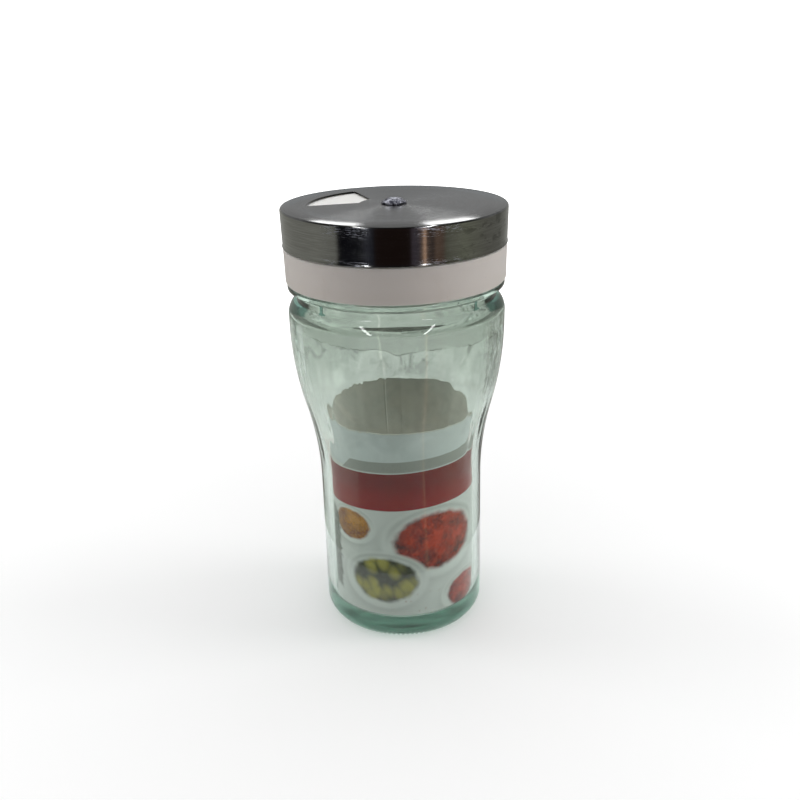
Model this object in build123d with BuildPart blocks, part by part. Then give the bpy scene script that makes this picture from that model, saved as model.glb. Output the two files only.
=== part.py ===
from build123d import *
import os
from math import cos, radians, sin, sqrt, tan

# A glass spice jar with a screw-on shaker cap and a steel cover that turns on a rivet.
# Lengths are in millimetres and angles in degrees. The origin is the centre of the resting
# face, +Z is up, and -Y is the front. Each piece lists its own sizes first, and whatever
# seats on it or passes through it is worked out from those.

os.makedirs("parts", exist_ok=True)

cut_overrun = 2.0  # how far a cutting solid runs past the face that it cuts

# Sizes of the jar's neck, which the lid is built round
finish_radius = 27.4  # the plain neck wall that carries the screw thread
finish_height = 17.0
finish_wall = 2.2
rim_round = 0.9
finish_foot_round = 0.6
bead_set_in = 0.35  # inside the lid's collar, above it
bead_edge_height = 1.3
bead_underside_rise = 1.1
bead_round = 0.35
groove_step = 1.0  # out from the neck wall
groove_height = 2.1
groove_round = 0.25
throat_drop = 1.2
throat_fall = 3.2
throat_round = 0.9
under_shoulder_round = 0.9

# Sizes of the glass jar's body
waist_radius = 24.45  # outside, where the straight lower body ends
waist_height = 46.0
body_draft = 0.2
bulge_set_in = 0.15  # inside the lid's collar, above it
bulge_rise = 49.0
bulge_band_height = 2.8
shoulder_rise = 4.6
heel_round = 4.5
bearing_ring_width = 3.6
push_up_height = 1.5
lower_wall = 2.25
upper_wall = 2.65
floor_thickness = 7.2
floor_corner_round = 1.2

# Sizes of the sealing liner
liner_thickness = 1.2
liner_play = 0.1

# Sizes of the white shaker cap
cap_to_bead_gap = 0.34
thread_room = 1.9
skirt_wall = 1.8
collar_height = 9.8
collar_draft = 0.15
collar_foot_round = 0.5
collar_ledge_round = 0.3
skirt_lip_round = 0.4
plate_thickness = 1.6
plate_corner_round = 0.5
plug_clearance = 0.3
plug_wall = 0.9
plug_depth = 3.2
plug_tip_chamfer = 0.3
drum_clearance = 0.35  # at the cover's lower rim, where the cover is narrowest
drum_edge_round = 0.8
pad_radius = 6.0
pad_height = 0.3
boss_radius = 4.2
boss_height = 1.4
rib_width = 1.0
rib_set_back = 0.4  # from the boss's face

# Sizes of the steel cover
cover_step = 0.05  # out from the collar's ledge
cover_draft = 0.2
cover_thickness = 0.5
cover_corner_round = 0.95
cover_rim_flare = 0.18
cover_rim_height = 0.6
cover_rim_round = 0.4
cover_to_collar_gap = 0.3

# The fan-shaped window in the cover, and the stations under it
window_angle = 150.4
window_side_angle = 41.0  # from the window's middle line to either side
window_apex_offset = 5.9  # the straight sides meet off the axis
window_inner_radius = 9.9
window_set_in = 1.3  # from the plug seal's outside to the window's outer edge
window_corner_round = 0.7
station_count = 4
station_step = 360 / station_count
coarse_station = 1  # steps clockwise from the blank station
pour_station = 2
fine_station = 3
pour_margin = 1.1
coarse_hole_radius = 1.7
fine_hole_radius = 0.9
coarse_row_shares = (0.22, 0.53, 0.84)  # of the way from the window's inner edge to its outer
fine_row_shares = (0.12, 0.36, 0.60, 0.84)
first_row_holes = 2  # each row further out has one more
row_width_share = 0.74  # of the window's width, from a row's first hole to its last

# Sizes of the rivet and its washer
shank_radius = 1.75
cover_bearing_clearance = 0.06
rivet_seat_clearance = 0.02
rivet_head_overhang = 1.75
rivet_head_height = 1.5
rivet_head_edge = 0.45
rivet_head_edge_round = 0.15
rivet_crown_radius = 1.9
rivet_crown_round = 0.5
rivet_dish_radius = 0.8
rivet_dish_depth = 0.25
rivet_dish_round = 0.3
rivet_tail_overhang = 0.85
rivet_tail_height = 0.9
rivet_tail_round = 0.3
washer_set_in = 0.6  # inside the boss, above it
washer_thickness = 0.5

# Sizes of the rolled paper label
paper_thickness = 0.28
label_wall_gap = 0.3
label_height = 61.6
label_seat_gap = 0.1
label_outer_end_angle = 76.0
label_round_sweep = 330.0
label_flap_sweep = 48.0
label_flap_tightening = 3.36

# Places along the axis, from the resting face up
bulge_height = waist_height + bulge_rise
shoulder_foot = bulge_height + bulge_band_height
shoulder_top = shoulder_foot + shoulder_rise
groove_top = shoulder_top + groove_height
bead_bottom = groove_top + bead_underside_rise
bead_top = bead_bottom + bead_edge_height
rim_height = bead_top + finish_height
throat_bottom = shoulder_top - throat_drop
under_shoulder_top = throat_bottom - throat_fall
plate_bottom = rim_height + liner_thickness
plate_top = plate_bottom + plate_thickness
pad_top = plate_top + pad_height
cover_top = pad_top + cover_thickness
collar_foot = bead_top + cap_to_bead_gap
collar_ledge = collar_foot + collar_height
cover_foot = collar_ledge + cover_to_collar_gap
rib_height = boss_height - rib_set_back
boss_bottom = plate_bottom - boss_height
washer_bottom = boss_bottom - washer_thickness

# Radii of the lid, from the neck outwards
bore_radius = finish_radius - finish_wall
plug_radius = bore_radius - plug_clearance
skirt_bore_radius = finish_radius + thread_room
collar_foot_radius = skirt_bore_radius + skirt_wall
collar_top_radius = collar_foot_radius + collar_draft
cover_foot_radius = collar_top_radius + cover_step
cover_radius = cover_foot_radius + cover_draft
drum_radius = cover_foot_radius - cover_thickness - drum_clearance
window_outer_radius = plug_radius - window_set_in
liner_inner_radius = plug_radius + liner_play
liner_outer_radius = skirt_bore_radius - plate_corner_round
cover_bore_radius = shank_radius + cover_bearing_clearance
seat_bore_radius = shank_radius + rivet_seat_clearance
rivet_head_radius = shank_radius + rivet_head_overhang
rivet_tail_radius = shank_radius + rivet_tail_overhang
washer_radius = boss_radius - washer_set_in

# Radii of the jar, with its bead and bulge flush with the lid
bead_radius = collar_foot_radius - bead_set_in
groove_radius = finish_radius + groove_step
bulge_radius = collar_foot_radius - bulge_set_in
foot_radius = waist_radius + body_draft
body_bore_radius = waist_radius - lower_wall
bulge_bore_radius = bulge_radius - upper_wall


def swept_bulge(low, high):
    """Two equal arcs that leave low and reach high upright, meeting halfway between them."""
    middle = ((low[0] + high[0]) / 2, (low[1] + high[1]) / 2)
    lower = TangentArc(low, middle, tangent=(0, 1))
    upper = TangentArc(middle, high, tangent=lower % 1)
    return lower, upper


# Glass jar: one turned outline, from the push-up under the base round to the inner floor
with BuildPart() as glass_jar:
    with BuildSketch(Plane.XZ):
        with BuildLine():
            bearing_outer = foot_radius - heel_round
            bearing_inner = bearing_outer - bearing_ring_width
            TangentArc((0, push_up_height), (bearing_inner, 0), tangent=(1, 0))
            Line((bearing_inner, 0), (bearing_outer, 0))
            TangentArc((bearing_outer, 0), (foot_radius, heel_round), tangent=(1, 0))
            Line((foot_radius, heel_round), (waist_radius, waist_height))
            swept_bulge((waist_radius, waist_height), (bulge_radius, bulge_height))
            Line((bulge_radius, bulge_height), (bulge_radius, shoulder_foot))
            TangentArc((bulge_radius, shoulder_foot), (groove_radius, shoulder_top), tangent=(0, 1))
            FilletPolyline(
                (groove_radius, shoulder_top),
                (groove_radius, groove_top),
                (bead_radius, bead_bottom),
                (bead_radius, bead_top),
                (finish_radius, bead_top),
                (finish_radius, rim_height),
                (bore_radius, rim_height),
                (bore_radius, throat_bottom),
                (bulge_bore_radius, under_shoulder_top),
                (bulge_bore_radius, bulge_height),
                radius=[
                    groove_round,
                    bead_round,
                    bead_round,
                    finish_foot_round,
                    rim_round,
                    rim_round,
                    throat_round,
                    under_shoulder_round,
                ],
            )
            swept_bulge((body_bore_radius, waist_height), (bulge_bore_radius, bulge_height))
            Line((body_bore_radius, waist_height), (body_bore_radius, floor_thickness + floor_corner_round))
            TangentArc(
                (body_bore_radius, floor_thickness + floor_corner_round),
                (body_bore_radius - floor_corner_round, floor_thickness),
                tangent=(0, -1),
            )
            Line((body_bore_radius - floor_corner_round, floor_thickness), (0, floor_thickness))
            Line((0, floor_thickness), (0, push_up_height))
        make_face()
    revolve(axis=Axis.Z)

# Sealing liner: a flat ring between the jar's rim and the shaker plate
with BuildPart() as liner_ring:
    with BuildSketch(Plane.XY.offset(rim_height)):
        Circle(liner_outer_radius)
        Circle(liner_inner_radius, mode=Mode.SUBTRACT)
    extrude(amount=liner_thickness)


def fan(height, turn, margin=0.0):
    """The window's outline at a height, turned from the blank station and drawn in by margin."""
    apex = window_apex_offset + margin / sin(radians(window_side_angle))
    reach = window_outer_radius
    spread = reach * tan(radians(window_side_angle))
    with BuildSketch(Plane.XY.offset(height).rotated((0, 0, window_angle + turn))) as outline:
        Circle(window_outer_radius - margin)
        Circle(window_inner_radius + margin, mode=Mode.SUBTRACT)
        with BuildLine():
            Polyline((apex, 0), (apex + reach, spread), (apex + reach, -spread), close=True)
        make_face(mode=Mode.INTERSECT)
        fillet(outline.vertices(), radius=window_corner_round)
    return outline.sketch


def window_half_angle(radius):
    """Angle, at the axis, from the window's middle line to its side at this radius."""
    side = radians(window_side_angle)
    chord = sqrt(radius**2 - (window_apex_offset * sin(side)) ** 2) - window_apex_offset * cos(side)
    return Vector(window_apex_offset + chord * cos(side), chord * sin(side)).get_angle(Vector(1, 0))


def drilled_rows(row_shares):
    """Places of the holes in one station, as radius and angle, on arcs round the axis."""
    places = []
    for row, out_share in enumerate(row_shares):
        radius = window_inner_radius + out_share * (window_outer_radius - window_inner_radius)
        half_angle = row_width_share * window_half_angle(radius)
        steps = first_row_holes + row - 1
        places += [(radius, window_angle - half_angle + 2 * half_angle * k / steps) for k in range(steps + 1)]
    return places


# White shaker cap: turned shell, plug seal, rivet boss and ribs, then the stations
with BuildPart() as shaker_cap:
    with BuildSketch(Plane.XZ):
        with BuildLine():
            shell = FilletPolyline(
                (0, plate_top),
                (drum_radius, plate_top),
                (drum_radius, collar_ledge),
                (collar_top_radius, collar_ledge),
                (collar_foot_radius, collar_foot),
                (skirt_bore_radius, collar_foot),
                (skirt_bore_radius, plate_bottom),
                (0, plate_bottom),
                radius=[
                    drum_edge_round,
                    collar_ledge_round,
                    collar_ledge_round,
                    collar_foot_round,
                    skirt_lip_round,
                    plate_corner_round,
                ],
            )
            Line(shell @ 1, shell @ 0)
        make_face()
    revolve(axis=Axis.Z)
    with BuildSketch(Plane.XY.offset(plate_top)):
        Circle(pad_radius)
    extrude(amount=pad_height)
    with BuildSketch(Plane.XY.offset(plate_bottom)):
        Circle(plug_radius)
        Circle(plug_radius - plug_wall, mode=Mode.SUBTRACT)
    extrude(amount=-plug_depth)
    chamfer(
        shaker_cap.edges().filter_by(GeomType.CIRCLE).filter_by(
            lambda edge: abs(edge.center().Z - (plate_bottom - plug_depth)) < plug_tip_chamfer
        ).filter_by(lambda edge: edge.radius > plug_radius - plug_wall / 2),
        length=plug_tip_chamfer,
    )
    with BuildSketch(Plane.XY.offset(plate_bottom)):
        Circle(boss_radius)
    extrude(amount=-boss_height)
    with BuildSketch(Plane.XY.offset(plate_bottom)):
        rib_length = plug_radius - plug_wall / 2
        with PolarLocations(0, station_count, start_angle=window_angle + station_step / 2):
            Rectangle(rib_length, rib_width, align=(Align.MIN, Align.CENTER))
    extrude(amount=-rib_height)
    extrude(fan(plate_top, -pour_station * station_step, pour_margin), amount=-plate_thickness, mode=Mode.SUBTRACT)
    for station, row_shares, hole_radius in (
        (coarse_station, coarse_row_shares, coarse_hole_radius),
        (fine_station, fine_row_shares, fine_hole_radius),
    ):
        with BuildSketch(Plane.XY.offset(plate_top)):
            for radius, angle in drilled_rows(row_shares):
                with PolarLocations(radius, 1, start_angle=angle - station * station_step):
                    Circle(hole_radius)
        extrude(amount=-plate_thickness, mode=Mode.SUBTRACT)
    with BuildSketch(Plane.XY.offset(pad_top)):
        Circle(seat_bore_radius)
    extrude(amount=boss_bottom - pad_top, mode=Mode.SUBTRACT)

# Steel cover: a drawn skin of one thickness, with the fan window cut through its top
with BuildPart() as steel_cover:
    with BuildSketch(Plane.XZ):
        with BuildLine():
            FilletPolyline(
                (cover_bore_radius, cover_top),
                (cover_radius, cover_top),
                (cover_foot_radius, cover_foot + cover_rim_height),
                (cover_foot_radius + cover_rim_flare, cover_foot),
                radius=[cover_corner_round, cover_rim_round],
            )
            offset(amount=cover_thickness, side=Side.RIGHT)
        make_face()
    revolve(axis=Axis.Z)
    extrude(fan(cover_top + cut_overrun, 0), amount=-(cover_thickness + 2 * cut_overrun), mode=Mode.SUBTRACT)

# Rivet: dished head, shank and clinched tail, held in the cap
with BuildPart() as rivet:
    with BuildSketch(Plane.XZ):
        with BuildLine():
            head_top = cover_top + rivet_head_height
            tail_end = washer_bottom - rivet_tail_height
            head = FilletPolyline(
                (0, head_top - rivet_dish_depth),
                (rivet_dish_radius, head_top),
                (rivet_crown_radius, head_top),
                (rivet_head_radius, cover_top + rivet_head_edge),
                (rivet_head_radius, cover_top),
                radius=[rivet_dish_round, rivet_crown_round, rivet_head_edge_round],
            )
            shank = Polyline(
                head @ 1,
                (shank_radius, cover_top),
                (shank_radius, washer_bottom),
                (rivet_tail_radius, washer_bottom),
            )
            tail = FilletPolyline(
                shank @ 1,
                (rivet_tail_radius, tail_end),
                (0, tail_end),
                radius=rivet_tail_round,
            )
            Line(tail @ 1, head @ 0)
        make_face()
    revolve(axis=Axis.Z)

# Rivet washer: spreads the clinched tail on the boss
with BuildPart() as rivet_washer:
    with BuildSketch(Plane.XY.offset(washer_bottom)):
        Circle(washer_radius)
        Circle(seat_bore_radius, mode=Mode.SUBTRACT)
    extrude(amount=washer_thickness)

# Paper label: one strip rolled inside the glass, its loose end lapped over at the back
with BuildPart() as label_sleeve:
    label_outer_radius = body_bore_radius - label_wall_gap
    label_path_radius = label_outer_radius - paper_thickness / 2
    into_corner = label_outer_radius - (body_bore_radius - floor_corner_round)
    corner_rise = floor_corner_round - sqrt(floor_corner_round**2 - max(into_corner, 0) ** 2)
    label_foot = floor_thickness + corner_rise + label_seat_gap
    with BuildSketch(Plane.XY.offset(label_foot)):
        with BuildLine():
            roll = CenterArc((0, 0), label_path_radius, label_outer_end_angle, label_round_sweep)
            JernArc(roll @ 1, roll % 1, label_path_radius - label_flap_tightening, label_flap_sweep)
        trace(line_width=paper_thickness)
    extrude(amount=label_height)

for label, piece in {
    "glass_jar": glass_jar,
    "liner_ring": liner_ring,
    "shaker_cap": shaker_cap,
    "steel_cover": steel_cover,
    "rivet": rivet,
    "rivet_washer": rivet_washer,
    "label_sleeve": label_sleeve,
}.items():
    piece.part.label = label
    export_step(piece.part, f"parts/{label}.step")
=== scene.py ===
"""Looks of a waisted glass spice jar with a screw-on shaker lid and a turning steel cover.

Lengths in the classes are in millimetres, except in the finishes that read the object's own
coordinates, where they are in metres. Angles are in degrees, counted anticlockwise from +X as seen
from above, so that the front is at 270 or -90. Finished meshes are in metres.
"""
import logging
from dataclasses import dataclass
from enum import Enum
from functools import reduce
from math import acos, atan2, ceil, cos, hypot, pi, radians, sin, sqrt, tan
from typing import Callable, Optional, Sequence

import bmesh
import bpy
import numpy as np
from mathutils import Matrix, Vector


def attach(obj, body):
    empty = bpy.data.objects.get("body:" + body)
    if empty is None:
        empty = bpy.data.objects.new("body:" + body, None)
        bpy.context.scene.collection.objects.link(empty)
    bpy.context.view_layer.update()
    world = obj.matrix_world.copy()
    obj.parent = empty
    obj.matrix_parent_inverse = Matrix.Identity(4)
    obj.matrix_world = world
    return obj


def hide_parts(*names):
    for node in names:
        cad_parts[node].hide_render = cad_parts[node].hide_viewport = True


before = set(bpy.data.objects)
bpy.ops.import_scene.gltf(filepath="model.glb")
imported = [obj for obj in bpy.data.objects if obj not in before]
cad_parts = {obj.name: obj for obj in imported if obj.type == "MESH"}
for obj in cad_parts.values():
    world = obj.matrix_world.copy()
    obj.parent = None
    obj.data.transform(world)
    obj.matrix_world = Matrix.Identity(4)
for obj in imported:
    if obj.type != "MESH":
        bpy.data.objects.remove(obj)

log = logging.getLogger("spice_jar")
MM = 0.001
ON_AXIS = 1e-4  # millimetres
FACET = radians(13)  # the coarsest step round a rounded corner
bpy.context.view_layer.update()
Piece, Material, Tree = bpy.types.Object, bpy.types.Material, bpy.types.NodeTree
Point = tuple[float, float]
Colour = tuple[float, float, float]
Warp = Callable[[np.ndarray, np.ndarray, np.ndarray, np.ndarray], tuple[np.ndarray, np.ndarray]]


class Body(Enum):
    """The moving bodies that the pieces ride on."""

    JAR = "jar"
    SEAL = "seal"
    CAP = "cap"
    COVER = "cover"


class Slot(Enum):
    """The material slots of the object's record."""

    GLASS = "green_glass"
    PAPER = "label_paper"
    PLASTIC = "white_plastic"
    BRUSHED = "brushed_steel"
    BRIGHT = "bright_steel"
    FOAM = "liner_foam"


class Side(Enum):
    """Which end of an arc in a turned section stands upright."""

    START = 0
    END = 1


# Meshes


class Outline:
    """Half of a turned section, grown corner by corner, as radius and height."""

    def __init__(self, radius: float, height: float) -> None:
        """Starts the outline at a point."""
        self.step, self.inside, self.columns = 1.0, 0.0, 1
        self.corners: list[tuple[float, float, float, float, float, int]] = []
        self.to(radius, height)

    def using(
        self, step: Optional[float] = None, inside: Optional[bool] = None, columns: Optional[int] = None
    ) -> "Outline":
        """Sets how the next stretch is cut.

        Args:
            step: the longest run between two rings.
            inside: whether the stretch is an inner wall.
            columns: how many times the columns round the piece are multiplied, 1 or 2.

        Returns:
            The outline itself.
        """
        self.step = self.step if step is None else step
        self.inside = self.inside if inside is None else float(inside)
        self.columns = self.columns if columns is None else columns
        return self

    def to(self, radius: float, height: float, rounding: float = 0.0) -> "Outline":
        """Runs straight to a point, whose corner is rounded. Returns the outline."""
        self.corners.append((radius, height, rounding, self.step, self.inside, self.columns))
        return self

    def swing(self, radius: float, height: float, upright: Side) -> "Outline":
        """Runs to a point along an arc that stands upright at one end. Returns the outline."""
        r0, z0 = self.corners[-1][:2]
        across, rise = radius - r0, height - z0
        size = (across**2 + rise**2) / (2 * abs(across))
        side = 1 if across > 0 else -1
        count = max(2, ceil(hypot(across, rise) / self.step))
        for k in range(1, count + 1):
            z = z0 + rise * k / count
            if upright is Side.START:
                r = r0 + side * (size - sqrt(size**2 - (z - z0) ** 2))
            else:
                r = radius - side * (size - sqrt(size**2 - (height - z) ** 2))
            self.to(r, z)
        return self

    def bulge(self, radius: float, height: float) -> "Outline":
        """Runs to a point by two equal arcs, upright at both ends. Returns the outline."""
        r0, z0 = self.corners[-1][:2]
        self.swing((r0 + radius) / 2, (z0 + height) / 2, Side.START)
        return self.swing(radius, height, Side.END)

    def dome(self, radius: float, height: float) -> "Outline":
        """Runs from the axis to a point by an arc that is level at the axis. Returns the outline."""
        z0 = self.corners[-1][1]
        drop = z0 - height
        size = (radius**2 + drop**2) / (2 * drop)
        count = max(3, ceil(radius / self.step))
        for k in range(1, count + 1):
            r = radius * k / count
            self.to(r, z0 - size + sqrt(size**2 - r**2))
        return self

    def rings(self) -> np.ndarray:
        """The section's rings, one row each: radius, height, inner wall or not, columns."""
        rows: list[tuple[float, float, float, float, int]] = []
        last = len(self.corners) - 1
        for i, (r, z, rounding, step, inside, columns) in enumerate(self.corners):
            if not rounding or i in (0, last):
                rows.append((r, z, step, inside, columns))
                continue
            here = Vector((r, z))
            back = (Vector(self.corners[i - 1][:2]) - here).normalized()
            ahead = (Vector(self.corners[i + 1][:2]) - here).normalized()
            between = acos(max(-1.0, min(1.0, back.dot(ahead))))
            start = here + back * rounding / tan(between / 2)
            centre = here + (back + ahead).normalized() * rounding / sin(between / 2)
            arm, sweep = start - centre, pi - between
            turn = 1 if arm.x * -back.y - arm.y * -back.x > 0 else -1
            count = max(3, ceil(sweep / FACET), ceil(rounding * sweep / step))
            for k in range(count + 1):
                a = turn * sweep * k / count
                spot = centre + Vector((arm.x * cos(a) - arm.y * sin(a), arm.x * sin(a) + arm.y * cos(a)))
                rows.append((spot.x, spot.y, step, inside, columns))
        cut = [rows[0]]
        for row in rows[1:]:
            r0, z0 = cut[-1][:2]
            gap = hypot(row[0] - r0, row[1] - z0)
            if gap < 1e-6:
                continue
            count = ceil(gap / row[2] - 1e-6)
            for k in range(1, count + 1):
                share = k / count
                cut.append((r0 + (row[0] - r0) * share, z0 + (row[1] - z0) * share, *row[2:]))
        return np.array([(r, z, inside, columns) for r, z, _, inside, columns in cut])


def new_piece(name: str, vertices: np.ndarray, faces: list, closed: bool = True) -> Piece:
    """Makes an object from corners in millimetres.

    Args:
        name: the piece's name.
        vertices: one row for each corner.
        faces: corner numbers of each face.
        closed: whether the faces close a space, so that they are turned outwards.

    Returns:
        The object, at the origin, with its mesh in metres.
    """
    mesh = bpy.data.meshes.new(name)
    mesh.from_pydata((np.asarray(vertices, float) * MM).tolist(), [], faces)
    if closed:
        work = bmesh.new()
        work.from_mesh(mesh)
        bmesh.ops.recalc_face_normals(work, faces=work.faces)
        work.to_mesh(mesh)
        work.free()
    mesh.shade_smooth()
    piece = bpy.data.objects.new(name, mesh)
    bpy.context.scene.collection.objects.link(piece)
    return piece


def bridge(one: list[int], two: list[int]) -> list[tuple[int, ...]]:
    """Faces between two rings, where one may be a pole or have twice the corners."""
    if len(one) > len(two):
        return [face[::-1] for face in bridge(two, one)]
    count, many = len(one), len(two)
    if count == 1:
        return [(one[0], two[k], two[(k + 1) % many]) for k in range(many)]
    if count == many:
        return [(one[k], two[k], two[(k + 1) % many], one[(k + 1) % many]) for k in range(many)]
    faces: list[tuple[int, ...]] = []
    for k in range(count):
        a, b, c = two[2 * k], two[2 * k + 1], two[(2 * k + 2) % many]
        faces += [(one[k], a, b), (one[k], b, one[(k + 1) % count]), (one[(k + 1) % count], b, c)]
    return faces


def turned(name: str, outline: Outline, columns: int, warp: Optional[Warp] = None, closed: bool = True) -> Piece:
    """Turns an outline into a piece.

    Args:
        name: the piece's name.
        outline: from axis to axis, a loop round a ring's section, or from the axis out to an open edge.
        columns: how many columns go round.
        warp: moves rings off their true circle, given radius, angle, height and inner wall.
        closed: whether the piece closes a space.

    Returns:
        The piece, with a point attribute "inside" that is 1 on inner walls.
    """
    rings = outline.rings()
    looped = rings[0][0] > ON_AXIS
    if looped and hypot(*(rings[0][:2] - rings[-1][:2])) < ON_AXIS:
        rings = rings[:-1]
    ids: list[list[int]] = []
    parts: list[np.ndarray] = []
    total = 0
    for radius, height, inside, density in rings:
        count = 1 if radius < ON_AXIS else int(columns * density)
        angle = np.arange(count) * 2 * pi / count
        full = np.full(count, 1.0)
        parts.append(np.stack([full * radius, angle, full * height, full * inside], axis=1))
        ids.append(list(range(total, total + count)))
        total += count
    data = np.concatenate(parts)
    radius, angle, height, inside = data.T
    if warp:
        radius, height = warp(radius, angle, height, inside)
    pairs = list(zip(ids, ids[1:])) + ([(ids[-1], ids[0])] if looped else [])
    faces = [face for one, two in pairs for face in bridge(one, two)]
    spots = np.stack([radius * np.cos(angle), radius * np.sin(angle), height], axis=1)
    piece = new_piece(name, spots, faces, closed)
    mark(piece, "inside", inside)
    return piece


def mark(piece: Piece, name: str, values: Sequence[float]) -> None:
    """Stores a number on each corner of a piece."""
    attribute = piece.data.attributes.new(name, "FLOAT", "POINT")
    attribute.data.foreach_set("value", np.asarray(values, np.float32))


def smooth_step(value: np.ndarray, low: float, high: float) -> np.ndarray:
    """Rises smoothly from 0 at low to 1 at high."""
    share = np.clip((value - low) / (high - low), 0, 1)
    return share * share * (3 - 2 * share)


def ripple(angle: np.ndarray, waves: Sequence[tuple[float, int, float]]) -> np.ndarray:
    """Sum of waves round the axis, each with its height, count and phase."""
    return sum(size * np.sin(count * angle + phase) for size, count, phase in waves)


# Node trees


def sums(operation: str, swapped: bool = False) -> Callable[["Wire", object], "Wire"]:
    """Makes the method that adds the node for a sum of a wire and a value, or of the value and the wire."""
    def work(self: "Wire", other: object) -> "Wire":
        """Adds the node."""
        return self.sheet.math(operation, *((other, self) if swapped else (self, other)))
    return work


class Wire:
    """What a node gives out. Sums on it add the nodes that work them out; at_least is the larger of two."""

    __add__, __sub__, __rsub__ = sums("ADD"), sums("SUBTRACT"), sums("SUBTRACT", swapped=True)
    __mul__, __truediv__, at_least = sums("MULTIPLY"), sums("DIVIDE"), sums("MAXIMUM")

    def __init__(self, sheet: "Sheet", socket: bpy.types.NodeSocket) -> None:
        """Takes the output of a node on a sheet."""
        self.sheet, self.socket = sheet, socket

    def __abs__(self) -> "Wire":
        """Itself without its sign."""
        return self.sheet.math("ABSOLUTE", self)

    def root(self) -> "Wire":
        """Its square root."""
        return self.sheet.math("SQRT", self)

    def rise(self, low: object, high: object) -> "Wire":
        """Rises smoothly from 0 at low to 1 at high."""
        inputs = {"Value": self, "From Min": low, "From Max": high}
        return self.sheet.wire("ShaderNodeMapRange", inputs, interpolation_type="SMOOTHSTEP")

    def fall(self, low: object, high: object) -> "Wire":
        """Falls smoothly from 1 at low to 0 at high."""
        return 1 - self.rise(low, high)

    def span(self, low: float, high: float, soft: float) -> "Wire":
        """One between low and high and nothing outside, with soft ends."""
        return self.rise(low - soft / 2, low + soft / 2) * self.fall(high - soft / 2, high + soft / 2)

    def spread(self, low: float, high: float) -> "Wire":
        """Turns 0 to 1 into low to high."""
        return self.sheet.wire("ShaderNodeMapRange", {"Value": self, "To Min": low, "To Max": high})


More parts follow.
